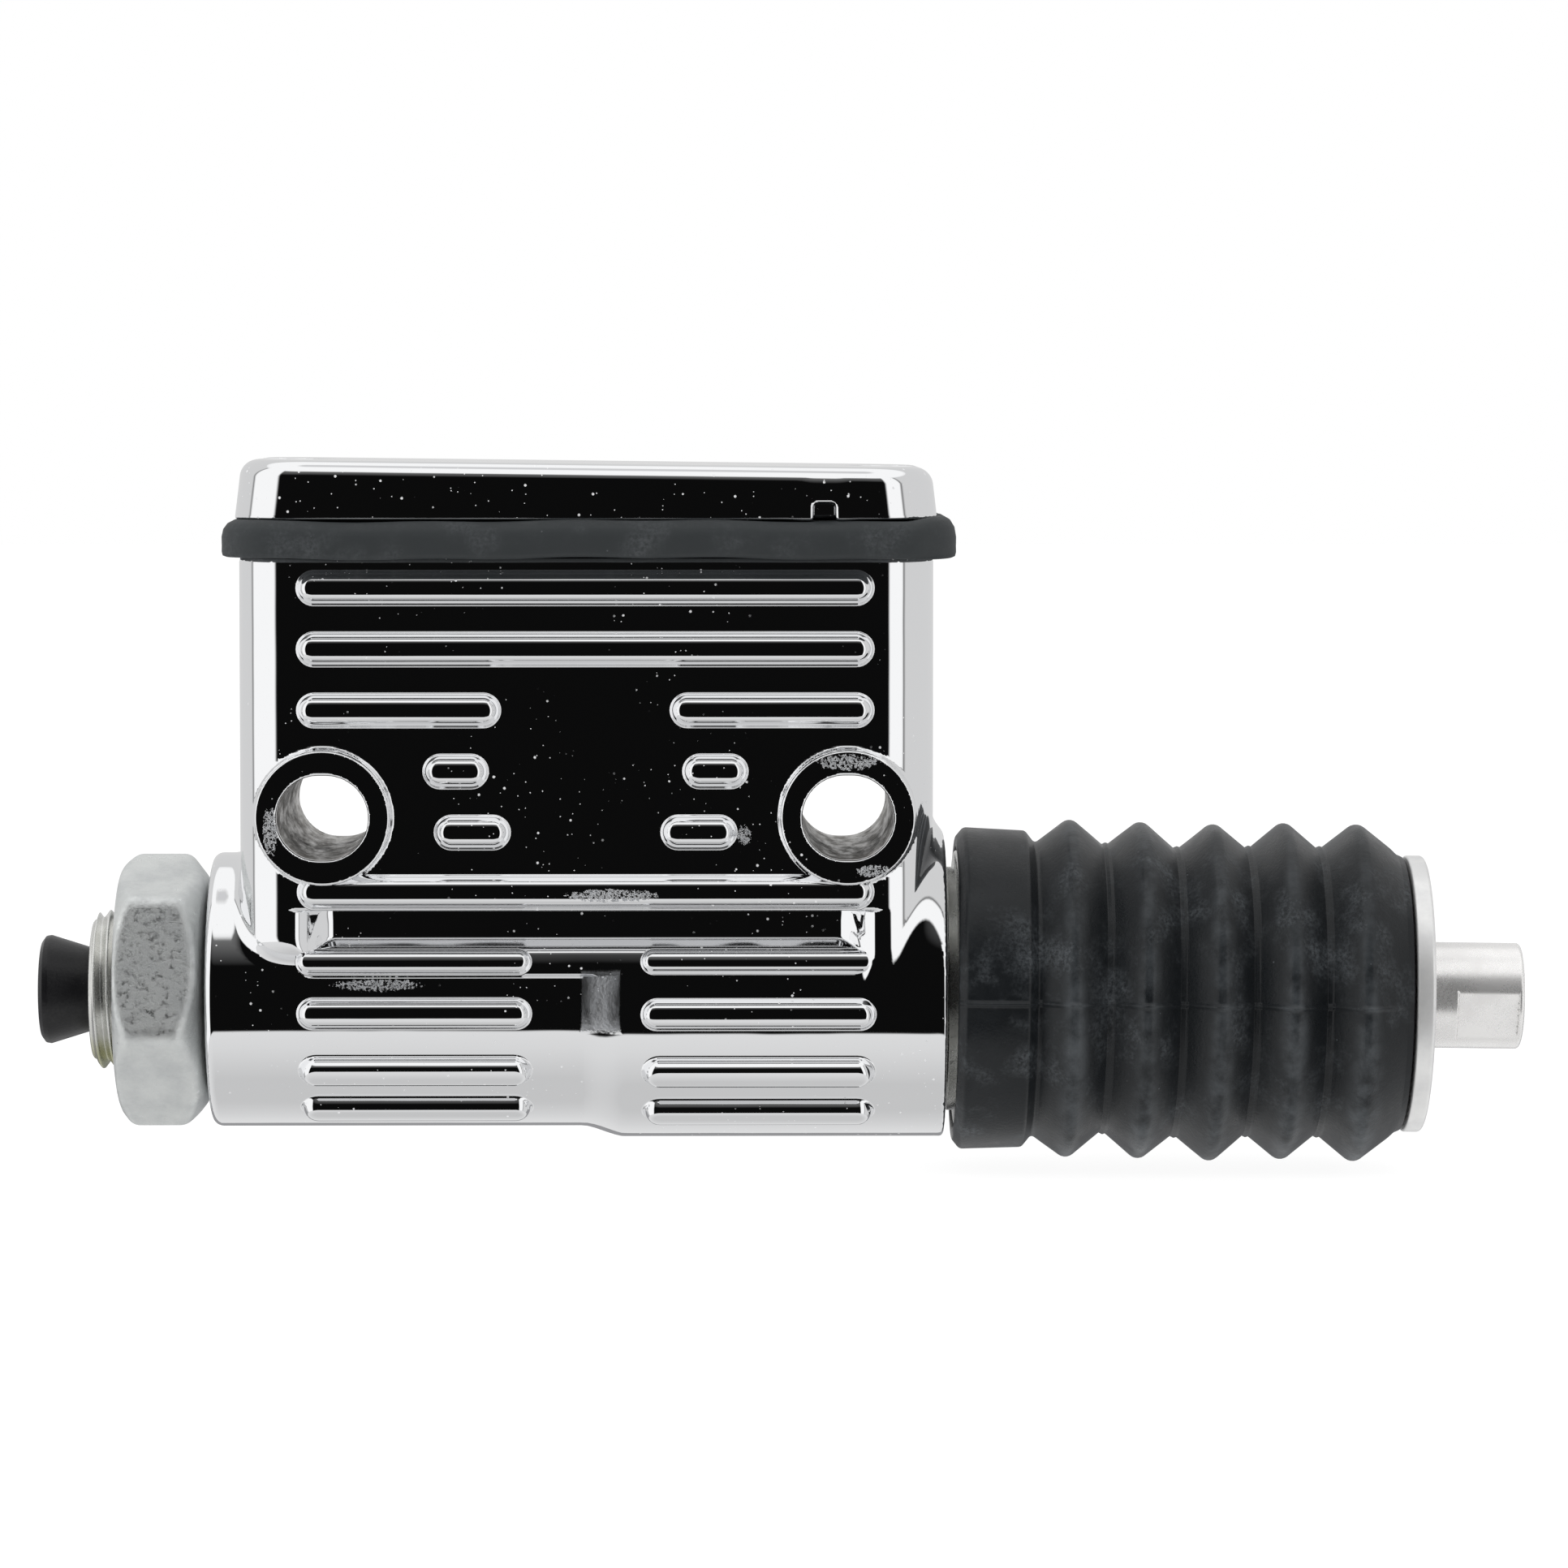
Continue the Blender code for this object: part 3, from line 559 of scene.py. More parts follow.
def make_nut():
    xs = steps((NUT_LOW[0] - 0.4, 0.28), (NUT_HIGH[0] + 0.4, 0))
    side = steps((-17.2, 0.36), (17.2, 0))
    return skin_object("jam_nut_forged", nut_distance, xs, side, side)


def thread(along, radius, angle):
    """The nose's 16 threads to the inch, cut into its outer side only."""
    pitch, depth = 25.4 / 16, 0.85
    phase = (along / pitch + angle / (2 * math.pi)) % 1
    groove = depth * np.clip(np.abs(2 * phase - 1) * 1.25 - 0.12, 0, 1)
    threaded = (radius > 9) & (radius < 10) & (along < -0.5)
    fade = rise(along, CARTRIDGE_LOW[0], CARTRIDGE_LOW[0] + 0.8)
    return np.where(threaded, radius - groove * fade, radius)


def make_cartridge():
    """The threaded nose with its port, and the flange under the boot's cuff."""
    flange, left = CARTRIDGE_HIGH[2], CARTRIDGE_LOW[0]
    nose = [(x, 9.5) for x in np.arange(-0.5, left + 0.6, -0.1)]
    outline = rounded_outline([(97, 10.5), (97, flange, 0.4), (94.2, flange, 0.2), (94.2, 14.8),
                               (91.6, 14.8), (91.6, flange, 0.2), (BARREL_END + 1.2, flange, 0.5),
                               (BARREL_END + 1.2, 14.6), (BARREL_END + 0.3, 14.6),
                               (BARREL_END + 0.3, 11.7), (6.3, 11.7), (6.3, 9.5)], 4)
    outline += nose + rounded_outline([(left, 8.4, 0.4), (left, 5.5, 0.3), (left + 0.6, 4.95),
                                       (left + 10, 4.95), (left + 12, 1.5), (4, 1.5), (4, 7.95),
                                       (90, 7.95), (90, 10.5)], 4)
    return lathe("cartridge_turned", outline, 120, thread)


def make_plug():
    left, right = PLUG_LOW[0], PLUG_HIGH[0]
    outline = rounded_outline([(right, 0), (right, 4.0, 0.4), (right - 0.9, 4.6, 0.5), (-14.4, 4.6, 0.05),
                               (-14.6, 5.0, 0.1), (-19.4, 6.5, 0.5), (-20.0, 6.4, 0.25), (left, 5.7, 0.4),
                               (left, 3.2, 0.6), (left + 0.9, 2.6, 0.4), (left + 1.0, 0)], 8)
    return lathe("outlet_plug_moulded", outline, 72)


# --- pushrod, retainer, springs ---------------------------------------------------

def rod_distance(x, y, z):
    """A chamfered head with two wrench flats and a socket, a thinner shank and a ball end."""
    head_r, flat_half = 6.35, 5.55
    turn = math.radians(20)
    radius = np.hypot(y, z)
    head = extrude(radius - head_r, np.abs(x - 150.95) - 5.75, 0.25)
    head = smooth_max(head, (radius - head_r + (x - 156.4)) * 0.7, 0.15)
    shank = extrude(radius - 4.75, np.abs(x - 119.7) - 25.7, 0.5)
    tip = extrude(radius - 3.4, np.abs(x - 88.9) - 7.6, 3.3)
    shape = np.minimum(np.minimum(head, shank), tip)
    across = np.abs(y * math.cos(turn) + z * math.sin(turn))
    flats = np.maximum(flat_half - across, np.abs(x - 152.4) - 3.6)
    shape = smooth_max(shape, -flats, 0.2)
    socket = radius - 3.45 - 0.6 * np.clip(x - 156.1, 0, 1)
    return smooth_max(shape, -np.maximum(socket, 142 - x), 0.2)


def make_pushrod():
    xs = steps((80.6, 0.8), (95, 2.5), (141, 0.8), (144.8, 0.24), (157.2, 0))
    side = steps((-6.8, 0.26), (6.8, 0))
    return tipped(skin_object("pushrod_turned", rod_distance, xs, side, side), BALL_X)


def tipped(made, pivot):
    """Lets a piece hang down to the right, as the booted end does, about a point on the bore's axis."""
    mesh = made.data
    points = np.empty(len(mesh.vertices) * 3, np.float32)
    mesh.vertices.foreach_get("co", points)
    points = points.reshape(-1, 3)
    x, z = points[:, 0] - pivot * MM, points[:, 2].copy()
    points[:, 0] = pivot * MM + x * math.cos(DROOP) + z * math.sin(DROOP)
    points[:, 2] = z * math.cos(DROOP) - x * math.sin(DROOP)
    mesh.vertices.foreach_set("co", points.ravel())
    mesh.update()
    return made


def make_retainer():
    left, right, inner, outer = 142.7, 144.9, 5.0, 16.6
    outline = rounded_outline([(right, inner, 0.2), (right, outer, 0.5), (left, outer, 0.3),
                               (left, inner, 0.2)], 6)
    return tipped(lathe("spring_retainer_stamped", outline, 128), CUFF_MIDDLE)


def make_spring(name, turns, radius, start, end, wire):
    """A coil whose end turns lie nearly flat."""
    per_turn, sides = 28, 10
    count = int(turns * per_turn) + 1
    t = np.linspace(0, turns, count)
    pace = 0.28 + 0.72 * rise(t, 0.4, 1.3) * rise(turns - t, 0.4, 1.3)
    climb = np.concatenate([[0], np.cumsum((pace[1:] + pace[:-1]) / 2)])
    x = start + (end - start) * climb / climb[-1]
    angle = 2 * math.pi * t
    line = np.stack([x, radius * np.cos(angle), radius * np.sin(angle)], axis=1)
    ahead = np.gradient(line, axis=0)
    ahead /= np.linalg.norm(ahead, axis=1)[:, None]
    out = np.stack([0 * x, np.cos(angle), np.sin(angle)], axis=1)
    side = np.cross(ahead, out)
    turn = np.linspace(0, 2 * math.pi, sides, endpoint=False)
    rings = line[:, None] + wire * (np.cos(turn)[None, :, None] * out[:, None]
                                    + np.sin(turn)[None, :, None] * side[:, None])
    return mesh_object(name, rings.reshape(-1, 3), tube_faces(count, sides))


# --- rubber ------------------------------------------------------------------------

def boot_profile():
    """The boot's outer side from its outer end to its cuff, with corner radii, then its inner side."""
    peak_r, valley_r, first, pitch, count = 20.55, 17.3, 102.2, 8.6, 5
    outer = [(142.4, 10.6, 0.3), (142.4, 16.4, 0.35), (141.6, 16.75, 0.3)]
    for number in reversed(range(count)):
        x = first + number * pitch
        outer += [(x + 0.15, peak_r, 1.3)]
        if number:
            valley = x - pitch / 2
            outer += [(valley + 0.55, valley_r + 0.1, 0.15), (valley + 0.2, valley_r + 0.22, 0.12),
                      (valley - 0.25, valley_r, 0.15)]
    outer += [(98.2, 17.5, 0.5), (97.0, 19.0, 0.7), (89.6, 19.3, 0.8), (88.7, 18.2, 0.5)]
    inner = [(88.7, 16.9, 0.2), (97.4, 16.9), (98.6, 15.9)]
    for number in range(count):
        x = first + number * pitch
        inner.append((x, peak_r - 1.7))
        if number < count - 1:
            inner.append((x + pitch / 2, valley_r - 1.5))
    inner += [(140.9, 15.0, 0.5), (140.9, 10.6)]
    return rounded_outline(outer + inner, 5)


def boot_radius(along, radius, angle):
    """The mould's parting line, front and back, and the slight unevenness of old soft rubber."""
    outside = rise(radius, 16.95, 17.3)
    line = np.exp(-(np.sin(angle) / 0.014) ** 2)
    wobble = 0.12 * np.sin(3 * angle + along * 0.21) + 0.08 * np.sin(7 * angle - along * 0.33)
    return radius + outside * (0.4 * line + wobble * rise(along, 97, 101))


def make_boot():
    outline = dense(boot_profile(), 1.2)
    return tipped(lathe("dust_boot_moulded", outline, 224, boot_radius, closer=0.85), CUFF_MIDDLE)


def dense(outline, longest):
    """The outline with long straight runs divided."""
    result = []
    for a, b in zip(outline, outline[1:] + outline[:1]):
        pieces = max(1, math.ceil(math.dist(a, b) / longest))
        result += [(a[0] + (b[0] - a[0]) * i / pieces, a[1] + (b[1] - a[1]) * i / pieces)
                   for i in range(pieces)]
    return result


def rectangle_ring(half_x, half_y, corner):
    """Points round a rounded rectangle, anticlockwise, the same number for every size."""
    points = []
    arc, long_side, short_side = 16, 110, 50
    centres = np.array([(1, 1), (-1, 1), (-1, -1), (1, -1)]) * (half_x - corner, half_y - corner)

    def on_arc(centre, quarters):
        a = math.pi / 2 * quarters
        return centre + corner * np.array([math.cos(a), math.sin(a)])

    for n, centre in enumerate(centres):
        points += [on_arc(centre, n + i / arc) for i in range(arc)]
        start, end = on_arc(centre, n + 1), on_arc(centres[(n + 1) % 4], n + 1)
        count = long_side if n % 2 == 0 else short_side
        points += [start + (end - start) * i / count for i in range(count)]
    return np.array(points)


def make_gasket():
    """The bead that shows all round, and inside it the diaphragm that hangs in the reservoir."""
    half_x, half_y = (GASKET_HIGH - GASKET_LOW)[:2] / 2
    bottom, top = RESERVOIR_TOP + 0.05, GASKET_HIGH[2] + 0.2
    bead = [(4.2, top), (2.4, top), (1.5, top - 0.05), (0.7, top - 0.45), (0.2, top - 1.1),
            (0.0, top - 2.0), (0.02, top - 3.0), (0.0, bottom + 0.6), (0.12, bottom + 0.15),
            (0.5, bottom), (2.0, bottom + 0.1), (4.2, bottom + 0.2)]
    rings = [(20.5, 48.5), (12.5, 48.5), (10.7, 49.5), (10.5, GASKET_HIGH[2]), (8.0, GASKET_HIGH[2]),
             (5.0, GASKET_HIGH[2])] + bead + [(5.0, GASKET_LOW[2]), (8.4, GASKET_LOW[2]), (8.6, 48.0),
                                             (10.0, 47.0), (20.5, 47.0)]
    points = []
    for inset, z in rings:
        corner = max(0.3, 7 - inset)
        x, y = rectangle_ring(half_x - inset, half_y - inset, corner).T
        lift = 0 * x
        if inset < 3:
            lift = 0.12 * np.sin(x * 0.11 + 1) + 0.08 * np.sin(x * 0.37 + y * 0.2)
            lift = lift + 0.55 * rise(x, 37, 40.5) * rise(z, bottom + 2, top)
        points.append(np.column_stack([x + MIDDLE + 0.4, y, z + lift]))
    around = len(points[0])
    faces = [(r * around + s, (r + 1) * around + s, (r + 1) * around + (s + 1) % around,
              r * around + (s + 1) % around) for r in range(len(rings) - 1) for s in range(around)]
    faces += [tuple(range(around)), tuple((len(rings) - 1) * around + s for s in reversed(range(around)))]
    return mesh_object("cover_gasket_moulded", np.concatenate(points), faces)


# --- materials -------------------------------------------------------------------

def add(tree, kind, inputs=None, **settings):
    """A node with its settings made, and each input set to a value or linked to another node's output."""
    made = tree.nodes.new("ShaderNode" + kind)
    for key, value in settings.items():
        setattr(made, key, value)
    for key, value in (inputs or {}).items():
        if isinstance(value, bpy.types.NodeSocket):
            tree.links.new(value, made.inputs[key])
        else:
            made.inputs[key].default_value = value
    return made


def calculate(tree, operation, *values):
    return add(tree, "Math", dict(enumerate(values)), operation=operation).outputs[0]


def times(tree, a, b):
    return calculate(tree, "MULTIPLY", a, b)


def plus(tree, a, b):
    return calculate(tree, "ADD", a, b)


def larger(tree, a, b):
    return calculate(tree, "MAXIMUM", a, b)


def between(tree, value, low, high, start=0.0, end=1.0):
    """Start where value is low or less, end where it is high or more, and smooth between."""
    inputs = {"Value": value, "From Min": low, "From Max": high, "To Min": start, "To Max": end}
    return add(tree, "MapRange", inputs, interpolation_type="SMOOTHSTEP").outputs["Result"]


def mixed(tree, factor, a, b):
    """Two colours mixed."""
    inputs = {"Factor": factor}
    for number, colour in ((6, a), (7, b)):
        inputs[number] = colour if isinstance(colour, bpy.types.NodeSocket) else (*colour, 1)
    return add(tree, "Mix", inputs, data_type="RGBA").outputs[2]


def position(tree):
    return add(tree, "TexCoord").outputs["Object"]


def noise(tree, size, detail=3.0, roughness=0.5, stretch=None, seed=0.0):
    """Cloudy values about size millimetres across. Stretch makes them longer along an axis."""
    where = position(tree)
    if stretch:
        where = add(tree, "Mapping", {"Vector": where, "Scale": [1 / s for s in stretch]}).outputs[0]
    inputs = {"Vector": where, "W": seed, "Scale": 1 / (size * MM), "Detail": detail, "Roughness": roughness}
    return add(tree, "TexNoise", inputs, noise_dimensions="4D").outputs[0]


def specks(tree, spacing, size, share):
    """1 inside small dots, at most one in each cell of the spacing, and in only a share of the cells."""
    cells = add(tree, "TexVoronoi", {"Vector": position(tree), "Scale": 1 / (spacing * MM)})
    dot = between(tree, cells.outputs["Distance"], size / spacing, 0.6 * size / spacing)
    chance = add(tree, "SeparateColor", {0: cells.outputs["Color"]}).outputs[0]
    return times(tree, dot, calculate(tree, "LESS_THAN", chance, share))


def scaled_from(tree, centre, reach):
    """How far each point is from the centre, in reaches along each axis. Both are in millimetres."""
    centre, reach = [c * MM for c in centre], [r * MM for r in reach]
    away = add(tree, "VectorMath", {0: position(tree), 1: centre}, operation="SUBTRACT").outputs[0]
    return add(tree, "VectorMath", {0: away, 1: reach}, operation="DIVIDE").outputs[0]


def patch(tree, centre, reach):
    """1 in the middle of an ellipsoid, falling to 0 at its edge."""
    scaled = scaled_from(tree, centre, reach)
    distance = add(tree, "VectorMath", {0: scaled}, operation="LENGTH").outputs["Value"]
    return between(tree, distance, 1.0, 0.55)


def block(tree, centre, reach):
    """1 in a box, falling to 0 just inside its faces."""
    scaled = scaled_from(tree, centre, reach)
    size = add(tree, "VectorMath", {0: scaled}, operation="ABSOLUTE").outputs[0]
    x, y, z = add(tree, "SeparateXYZ", {0: size}).outputs
    return between(tree, larger(tree, larger(tree, x, y), z), 1.0, 0.8)


def new_material(name, metallic=0.0, **sockets):
    """A material, its tree and its shader, with the shader's plain sockets set."""
    made = bpy.data.materials.new(name)
    made.use_nodes = True
    shader = made.node_tree.nodes["Principled BSDF"]
    shader.inputs["Metallic"].default_value = metallic
    for key, value in sockets.items():
        shader.inputs[key.replace("_", " ")].default_value = value
    return made, made.node_tree, shader


def finish_material(tree, shader, colour, roughness, height=None, depth=0.0):
    """Links the colour and the roughness, and a bump depth millimetres deep."""
    tree.links.new(colour, shader.inputs["Base Color"])
    tree.links.new(roughness, shader.inputs["Roughness"])
    if height:
        bump = add(tree, "Bump", {"Height": height, "Distance": depth * MM})
        tree.links.new(bump.outputs[0], shader.inputs["Normal"])


def sparkle(tree, amount):
    """Fine bright grains, as many as the amount, from 0 to 1, makes room for."""
    grain = noise(tree, 0.34, 4, 0.75)
    return between(tree, plus(tree, grain, times(tree, amount, 0.27)), 0.74, 0.86)


def chrome(name, patches=(), dull_blocks=(), specked=0.46):
    """Bright plating over a casting: slightly wavy, with grainy patches and dull blocks where the casting
    under it is rough, and specks where a cloudy pattern is over specked."""
    made, tree, shader = new_material(name, metallic=1.0)
    grains = times(tree, between(tree, noise(tree, 13, 4), 0.6, 0.8), 0.35)
    for centre, reach in patches:
        grains = larger(tree, grains, patch(tree, centre, reach))
    haze = sparkle(tree, grains)
    for centre, reach in dull_blocks:
        streaks = between(tree, noise(tree, 1.6, 4, 0.6, stretch=(1, 1, 3)), 0.3, 0.75, 0.55, 1.0)
        haze = larger(tree, haze, times(tree, block(tree, centre, reach), streaks))
    dots = larger(tree, specks(tree, 1.3, 0.19, 0.4), specks(tree, 0.7, 0.09, 0.4))
    dots = times(tree, dots, between(tree, noise(tree, 15, 2, seed=3), specked, specked + 0.12))
    dull = larger(tree, haze, dots)
    colour = mixed(tree, haze, (0.87, 0.875, 0.885), (0.60, 0.62, 0.65))
    roughness = between(tree, dull, 0.0, 1.0, 0.03, 0.45)
    tree.links.new(between(tree, dots, 0.0, 1.0, 1.0, 0.2), shader.inputs["Metallic"])
    grit = times(tree, times(tree, haze, noise(tree, 0.4, 3)), 1.5)
    wave = plus(tree, times(tree, noise(tree, 9, 1), 1.6), grit)
    finish_material(tree, shader, colour, roughness, wave, 0.03)
    return made


def cast_metal():
    """The bare casting inside the bolt holes, with old grime in its pits."""
    made, tree, shader = new_material("bare_casting", metallic=0.75)
    streaks = noise(tree, 1.6, 5, 0.65, stretch=(1, 3.5, 1))
    grime = between(tree, noise(tree, 5, 5, 0.7, seed=2), 0.5, 0.66)
    colour = mixed(tree, between(tree, streaks, 0.35, 0.65), (0.30, 0.285, 0.26), (0.58, 0.57, 0.55))
    colour = mixed(tree, grime, colour, (0.045, 0.038, 0.034))
    roughness = between(tree, streaks, 0.3, 0.7, 0.6, 0.3)
    finish_material(tree, shader, colour, roughness, streaks, 0.12)
    return made


def zinc(name, light=(0.70, 0.72, 0.72), dark=(0.62, 0.64, 0.64), smooth=0.3, rough=0.42, turned=0.0,
         scuffed=0.0, tarnish=None, metallic=0.96, depth=0.02):
    """Satin plating with faint clouds and fine grain. Turned gives tool rings that far apart, scuffed adds
    scratches and pits, and tarnish is a colour that gathers on the lower side of the threaded nose."""
    made, tree, shader = new_material(name, metallic=metallic)
    clouds = noise(tree, 5.5, 6, 0.62)
    grain = noise(tree, 0.3, 5, 0.75)
    colour = mixed(tree, between(tree, clouds, 0.35, 0.68), light, dark)
    shade = plus(tree, times(tree, clouds, 0.6), times(tree, grain, 0.4))
    height = plus(tree, grain, times(tree, clouds, 1.5))
    roughness = between(tree, shade, 0.35, 0.65, smooth, rough)
    if scuffed:
        scratches = noise(tree, 1.5, 3, 0.7, stretch=(4, 4, 0.5), seed=5)
        mottle = between(tree, noise(tree, 0.8, 7, 0.78, seed=6), 0.36, 0.64)
        worn = larger(tree, mottle, between(tree, scratches, 0.58, 0.7))
        roughness = plus(tree, roughness, times(tree, worn, scuffed))
        height = plus(tree, height, worn)
    if turned:
        rings = add(tree, "TexWave", {"Vector": position(tree), "Scale": 1 / (turned * MM), "Distortion": 0.6,
                                      "Detail": 1.0}, wave_type="BANDS", bands_direction="X").outputs["Fac"]
        height = plus(tree, height, times(tree, rings, 0.4))
    if tarnish:
        up = add(tree, "SeparateXYZ", {0: position(tree)}).outputs["Z"]
        low = between(tree, plus(tree, up, times(tree, clouds, 6 * MM)), -1 * MM, -5 * MM)
        nose = block(tree, (-10, 0, 0), (8, 12, 12))
        colour = mixed(tree, times(tree, low, nose), colour, tarnish)
    finish_material(tree, shader, colour, roughness, height, depth)
    return made


def rubber(name, colour, dust_and_highlight_colour, shine=0.42, dull=0.62, gloss=0.35, dust_and_highlight_ridges=None):
    """Moulded black rubber: a fine grain, and a thin pale dusting in clouds. Ridges, two radii from the
    bore's axis, add more of the pale colour, from none at the first to the most at the second: partly a
    dusting on the crests, and partly a painted highlight on them."""
    made, tree, shader = new_material(name, Specular_IOR_Level=gloss)
    clouds = noise(tree, 7, 5, 0.6)
    fine = noise(tree, 0.45, 4, 0.65)
    dust_and_highlight = times(tree, between(tree, clouds, 0.46, 0.74), between(tree, fine, 0.3, 0.7))
    if dust_and_highlight_ridges:
        away = add(tree, "VectorMath", {0: position(tree), 1: (0, 1, 1)}, operation="MULTIPLY").outputs[0]
        radius = add(tree, "VectorMath", {0: away}, operation="LENGTH").outputs["Value"]
        # Painted highlight with a dusting: the colour turns pale towards the outer radius, where the light
        # catches the convolutions' crests.
        ridge_dust_and_highlight = between(tree, radius, dust_and_highlight_ridges[0] * MM, dust_and_highlight_ridges[1] * MM)
        ridge_dust_and_highlight = times(tree, ridge_dust_and_highlight, between(tree, noise(tree, 4, 5, 0.65, seed=1), 0.3, 0.7))
        dust_and_highlight = larger(tree, dust_and_highlight, ridge_dust_and_highlight)
    lint = times(tree, specks(tree, 1.9, 0.12, 0.10), 1.6)
    shown = mixed(tree, larger(tree, dust_and_highlight, lint), colour, dust_and_highlight_colour)
    roughness = between(tree, plus(tree, clouds, times(tree, fine, 0.3)), 0.4, 0.85, shine, dull)
    height = plus(tree, fine, times(tree, clouds, 1.2))
    finish_material(tree, shader, shown, roughness, height, 0.035)
    return made


def floor_material():
    """Nearly white, and bright enough that the floor runs into the background."""
    made, tree, shader = new_material("studio_floor", Emission_Color=(1, 1, 1, 1), Emission_Strength=0.93)
    colour = mixed(tree, noise(tree, 300, 2), (0.12, 0.12, 0.12), (0.14, 0.14, 0.14))
    finish_material(tree, shader, colour, between(tree, noise(tree, 200, 1), 0, 1, 0.8, 0.9))
    return made


# --- the object ------------------------------------------------------------------

def place(made, body, node, slot_name, *finishes):
    """Sets a finished mesh in its CAD node's place."""
    for finish in finishes:
        made.data.materials.append(finish)
    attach(made, body)
    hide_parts(node)
    return made


def place_bending(made, node, finish):
    """Sets a finished mesh in its CAD node's place, with its placement baked into its points."""
    made.data.materials.append(finish)
    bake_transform(made)
    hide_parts(node)


def finish_hole_walls(body):
    """The walls of the two mounting holes take the second material."""
    mesh = body.data
    middles = np.empty(len(mesh.polygons) * 3, np.float32)
    mesh.polygons.foreach_get("center", middles)
    x, y, z = middles.reshape(-1, 3).T / MM
    walls = (np.abs(mount_hole(x, z)) < 0.12) & (np.abs(y) < BOSS_FACE - 0.8)
    mesh.polygons.foreach_set("material_index", walls.astype(np.int32))


def dress_inner_nodes():
    """The pieces inside keep their CAD shapes and take a finish each."""
    steel = zinc("oiled_steel", (0.30, 0.30, 0.32), (0.18, 0.18, 0.20), 0.25, 0.4)
    aluminium = zinc("anodised_aluminium", (0.62, 0.60, 0.52), (0.50, 0.48, 0.40), 0.3, 0.4, turned=0.5)
    brass = zinc("turned_brass", (0.72, 0.55, 0.28), (0.55, 0.38, 0.16), 0.25, 0.4, turned=0.4)
    seal = rubber("oiled_seal_rubber", (0.018, 0.018, 0.020), (0.05, 0.05, 0.05), 0.3, 0.5)
    finishes = {"front_o_ring": seal, "rear_o_ring": seal, "primary_cup": seal, "secondary_cup": seal,
                "piston": aluminium, "spring_seat": aluminium, "cup_washer": brass,
                "stop_washer": steel, "retaining_ring": steel}
    for node, finish in finishes.items():
        mesh = frame["nodes"][node].data
        mesh.materials.clear()
        mesh.materials.append(finish)
    return steel


left_boss, right_boss = MIDDLE - BOSS_OFFSET, MIDDLE + BOSS_OFFSET
grainy = [((48.0, -20, 12.8), (7.5, 3, 1.1)), ((20.5, -15, 2.0), (8, 4, 1.1)),
          ((right_boss, -20.5, BOSS_Z + 6.5), (5, 2, 1.3)),
          ((right_boss + 3, -20.5, BOSS_Z - 6.2), (3, 2, 1.0)),
          ((left_boss - 6, -20.5, BOSS_Z - 1.5), (1.2, 2, 4)),
          ((63.5, -18.5, 19.8), (1.2, 1.5, 1.6))]
dull = [((46.7, -17.2, 0.2), (2.6, 4, 4.0))]
body_chrome = chrome("body_chrome", grainy, dull)
plate = zinc("nut_zinc", (0.82, 0.84, 0.83), (0.70, 0.72, 0.72), 0.24, 0.34, scuffed=0.28)
body = place(make_body(), "housing", "reservoir_body", "chrome", body_chrome, cast_metal())
finish_hole_walls(body)
cover_chrome = chrome("cover_chrome", specked=0.3)
place(make_cover(), "housing", "reservoir_cover", "chrome", cover_chrome)
for side, x in (("left", MIDDLE - SCREW_OFFSET), ("right", MIDDLE + SCREW_OFFSET)):
    place(make_cover_screw(side, x), "housing", f"cover_screw_{side}", "chrome", cover_chrome)
place(make_gasket(), "housing", "cover_gasket", "gasket_rubber",
      rubber("soft_gasket_rubber", (0.030, 0.034, 0.036), (0.075, 0.08, 0.085), 0.5, 0.7))
place(make_nut(), "housing", "jam_nut", "zinc_plate", plate)
place(make_cartridge(), "housing", "cartridge_body", "zinc_plate",
      zinc("cartridge_zinc", (0.80, 0.80, 0.78), (0.70, 0.70, 0.67), 0.2, 0.34, tarnish=(0.46, 0.46, 0.30)))
place(make_plug(), "plug", "outlet_plug", "plug_plastic",
      rubber("soft_plug_plastic", (0.006, 0.006, 0.007), (0.02, 0.02, 0.02), 0.28, 0.4))
place(make_pushrod(), "pushrod", "pushrod", "zinc_plate",
      zinc("rod_zinc", (0.96, 0.95, 0.94), (0.90, 0.89, 0.88), 0.22, 0.34, metallic=0.72, depth=0.006))
place(make_retainer(), "piston", "spring_retainer", "zinc_plate",
      zinc("retainer_zinc", (0.93, 0.93, 0.92), (0.80, 0.80, 0.80), 0.34, 0.5, metallic=0.65, depth=0.01))
# The boot's ridge radii paint a highlight, with a dusting, on the crests of its convolutions.
boot_rubber = rubber("dust_and_highlight_boot_rubber", (0.008, 0.0095, 0.011), (0.075, 0.083, 0.090), 0.24, 0.42,
                     gloss=0.28, dust_and_highlight_ridges=(18.9, 20.9))
place_bending(make_boot(), "dust_boot", boot_rubber)
spring_steel = dress_inner_nodes()
place_bending(tipped(make_spring("return_spring_coil", 5.5, 13.4, 97.3, 140.6, 1.1), CUFF_MIDDLE),
              "return_spring", spring_steel)
place_bending(make_spring("piston_spring_coil", 9, 6.2, 4.3, 56, 0.7),
              "piston_spring", spring_steel)


# --- studio ----------------------------------------------------------------------

def profile(tree, angle, span, stops):
    """A grey for each angle, straight between (degrees, grey) stops. The angle goes from 0 to 1 over a
    span of degrees that has 0 in its middle."""
    ramp = add(tree, "ValToRGB", {"Fac": angle})
    elements = ramp.color_ramp.elements
    while len(elements) < len(stops):
        elements.new(0.5)
    for element, (degrees, grey) in zip(elements, sorted(stops)):
        element.position = 0.5 + degrees / span
        element.color = (grey, grey, grey, 1)
    return ramp.outputs["Color"]


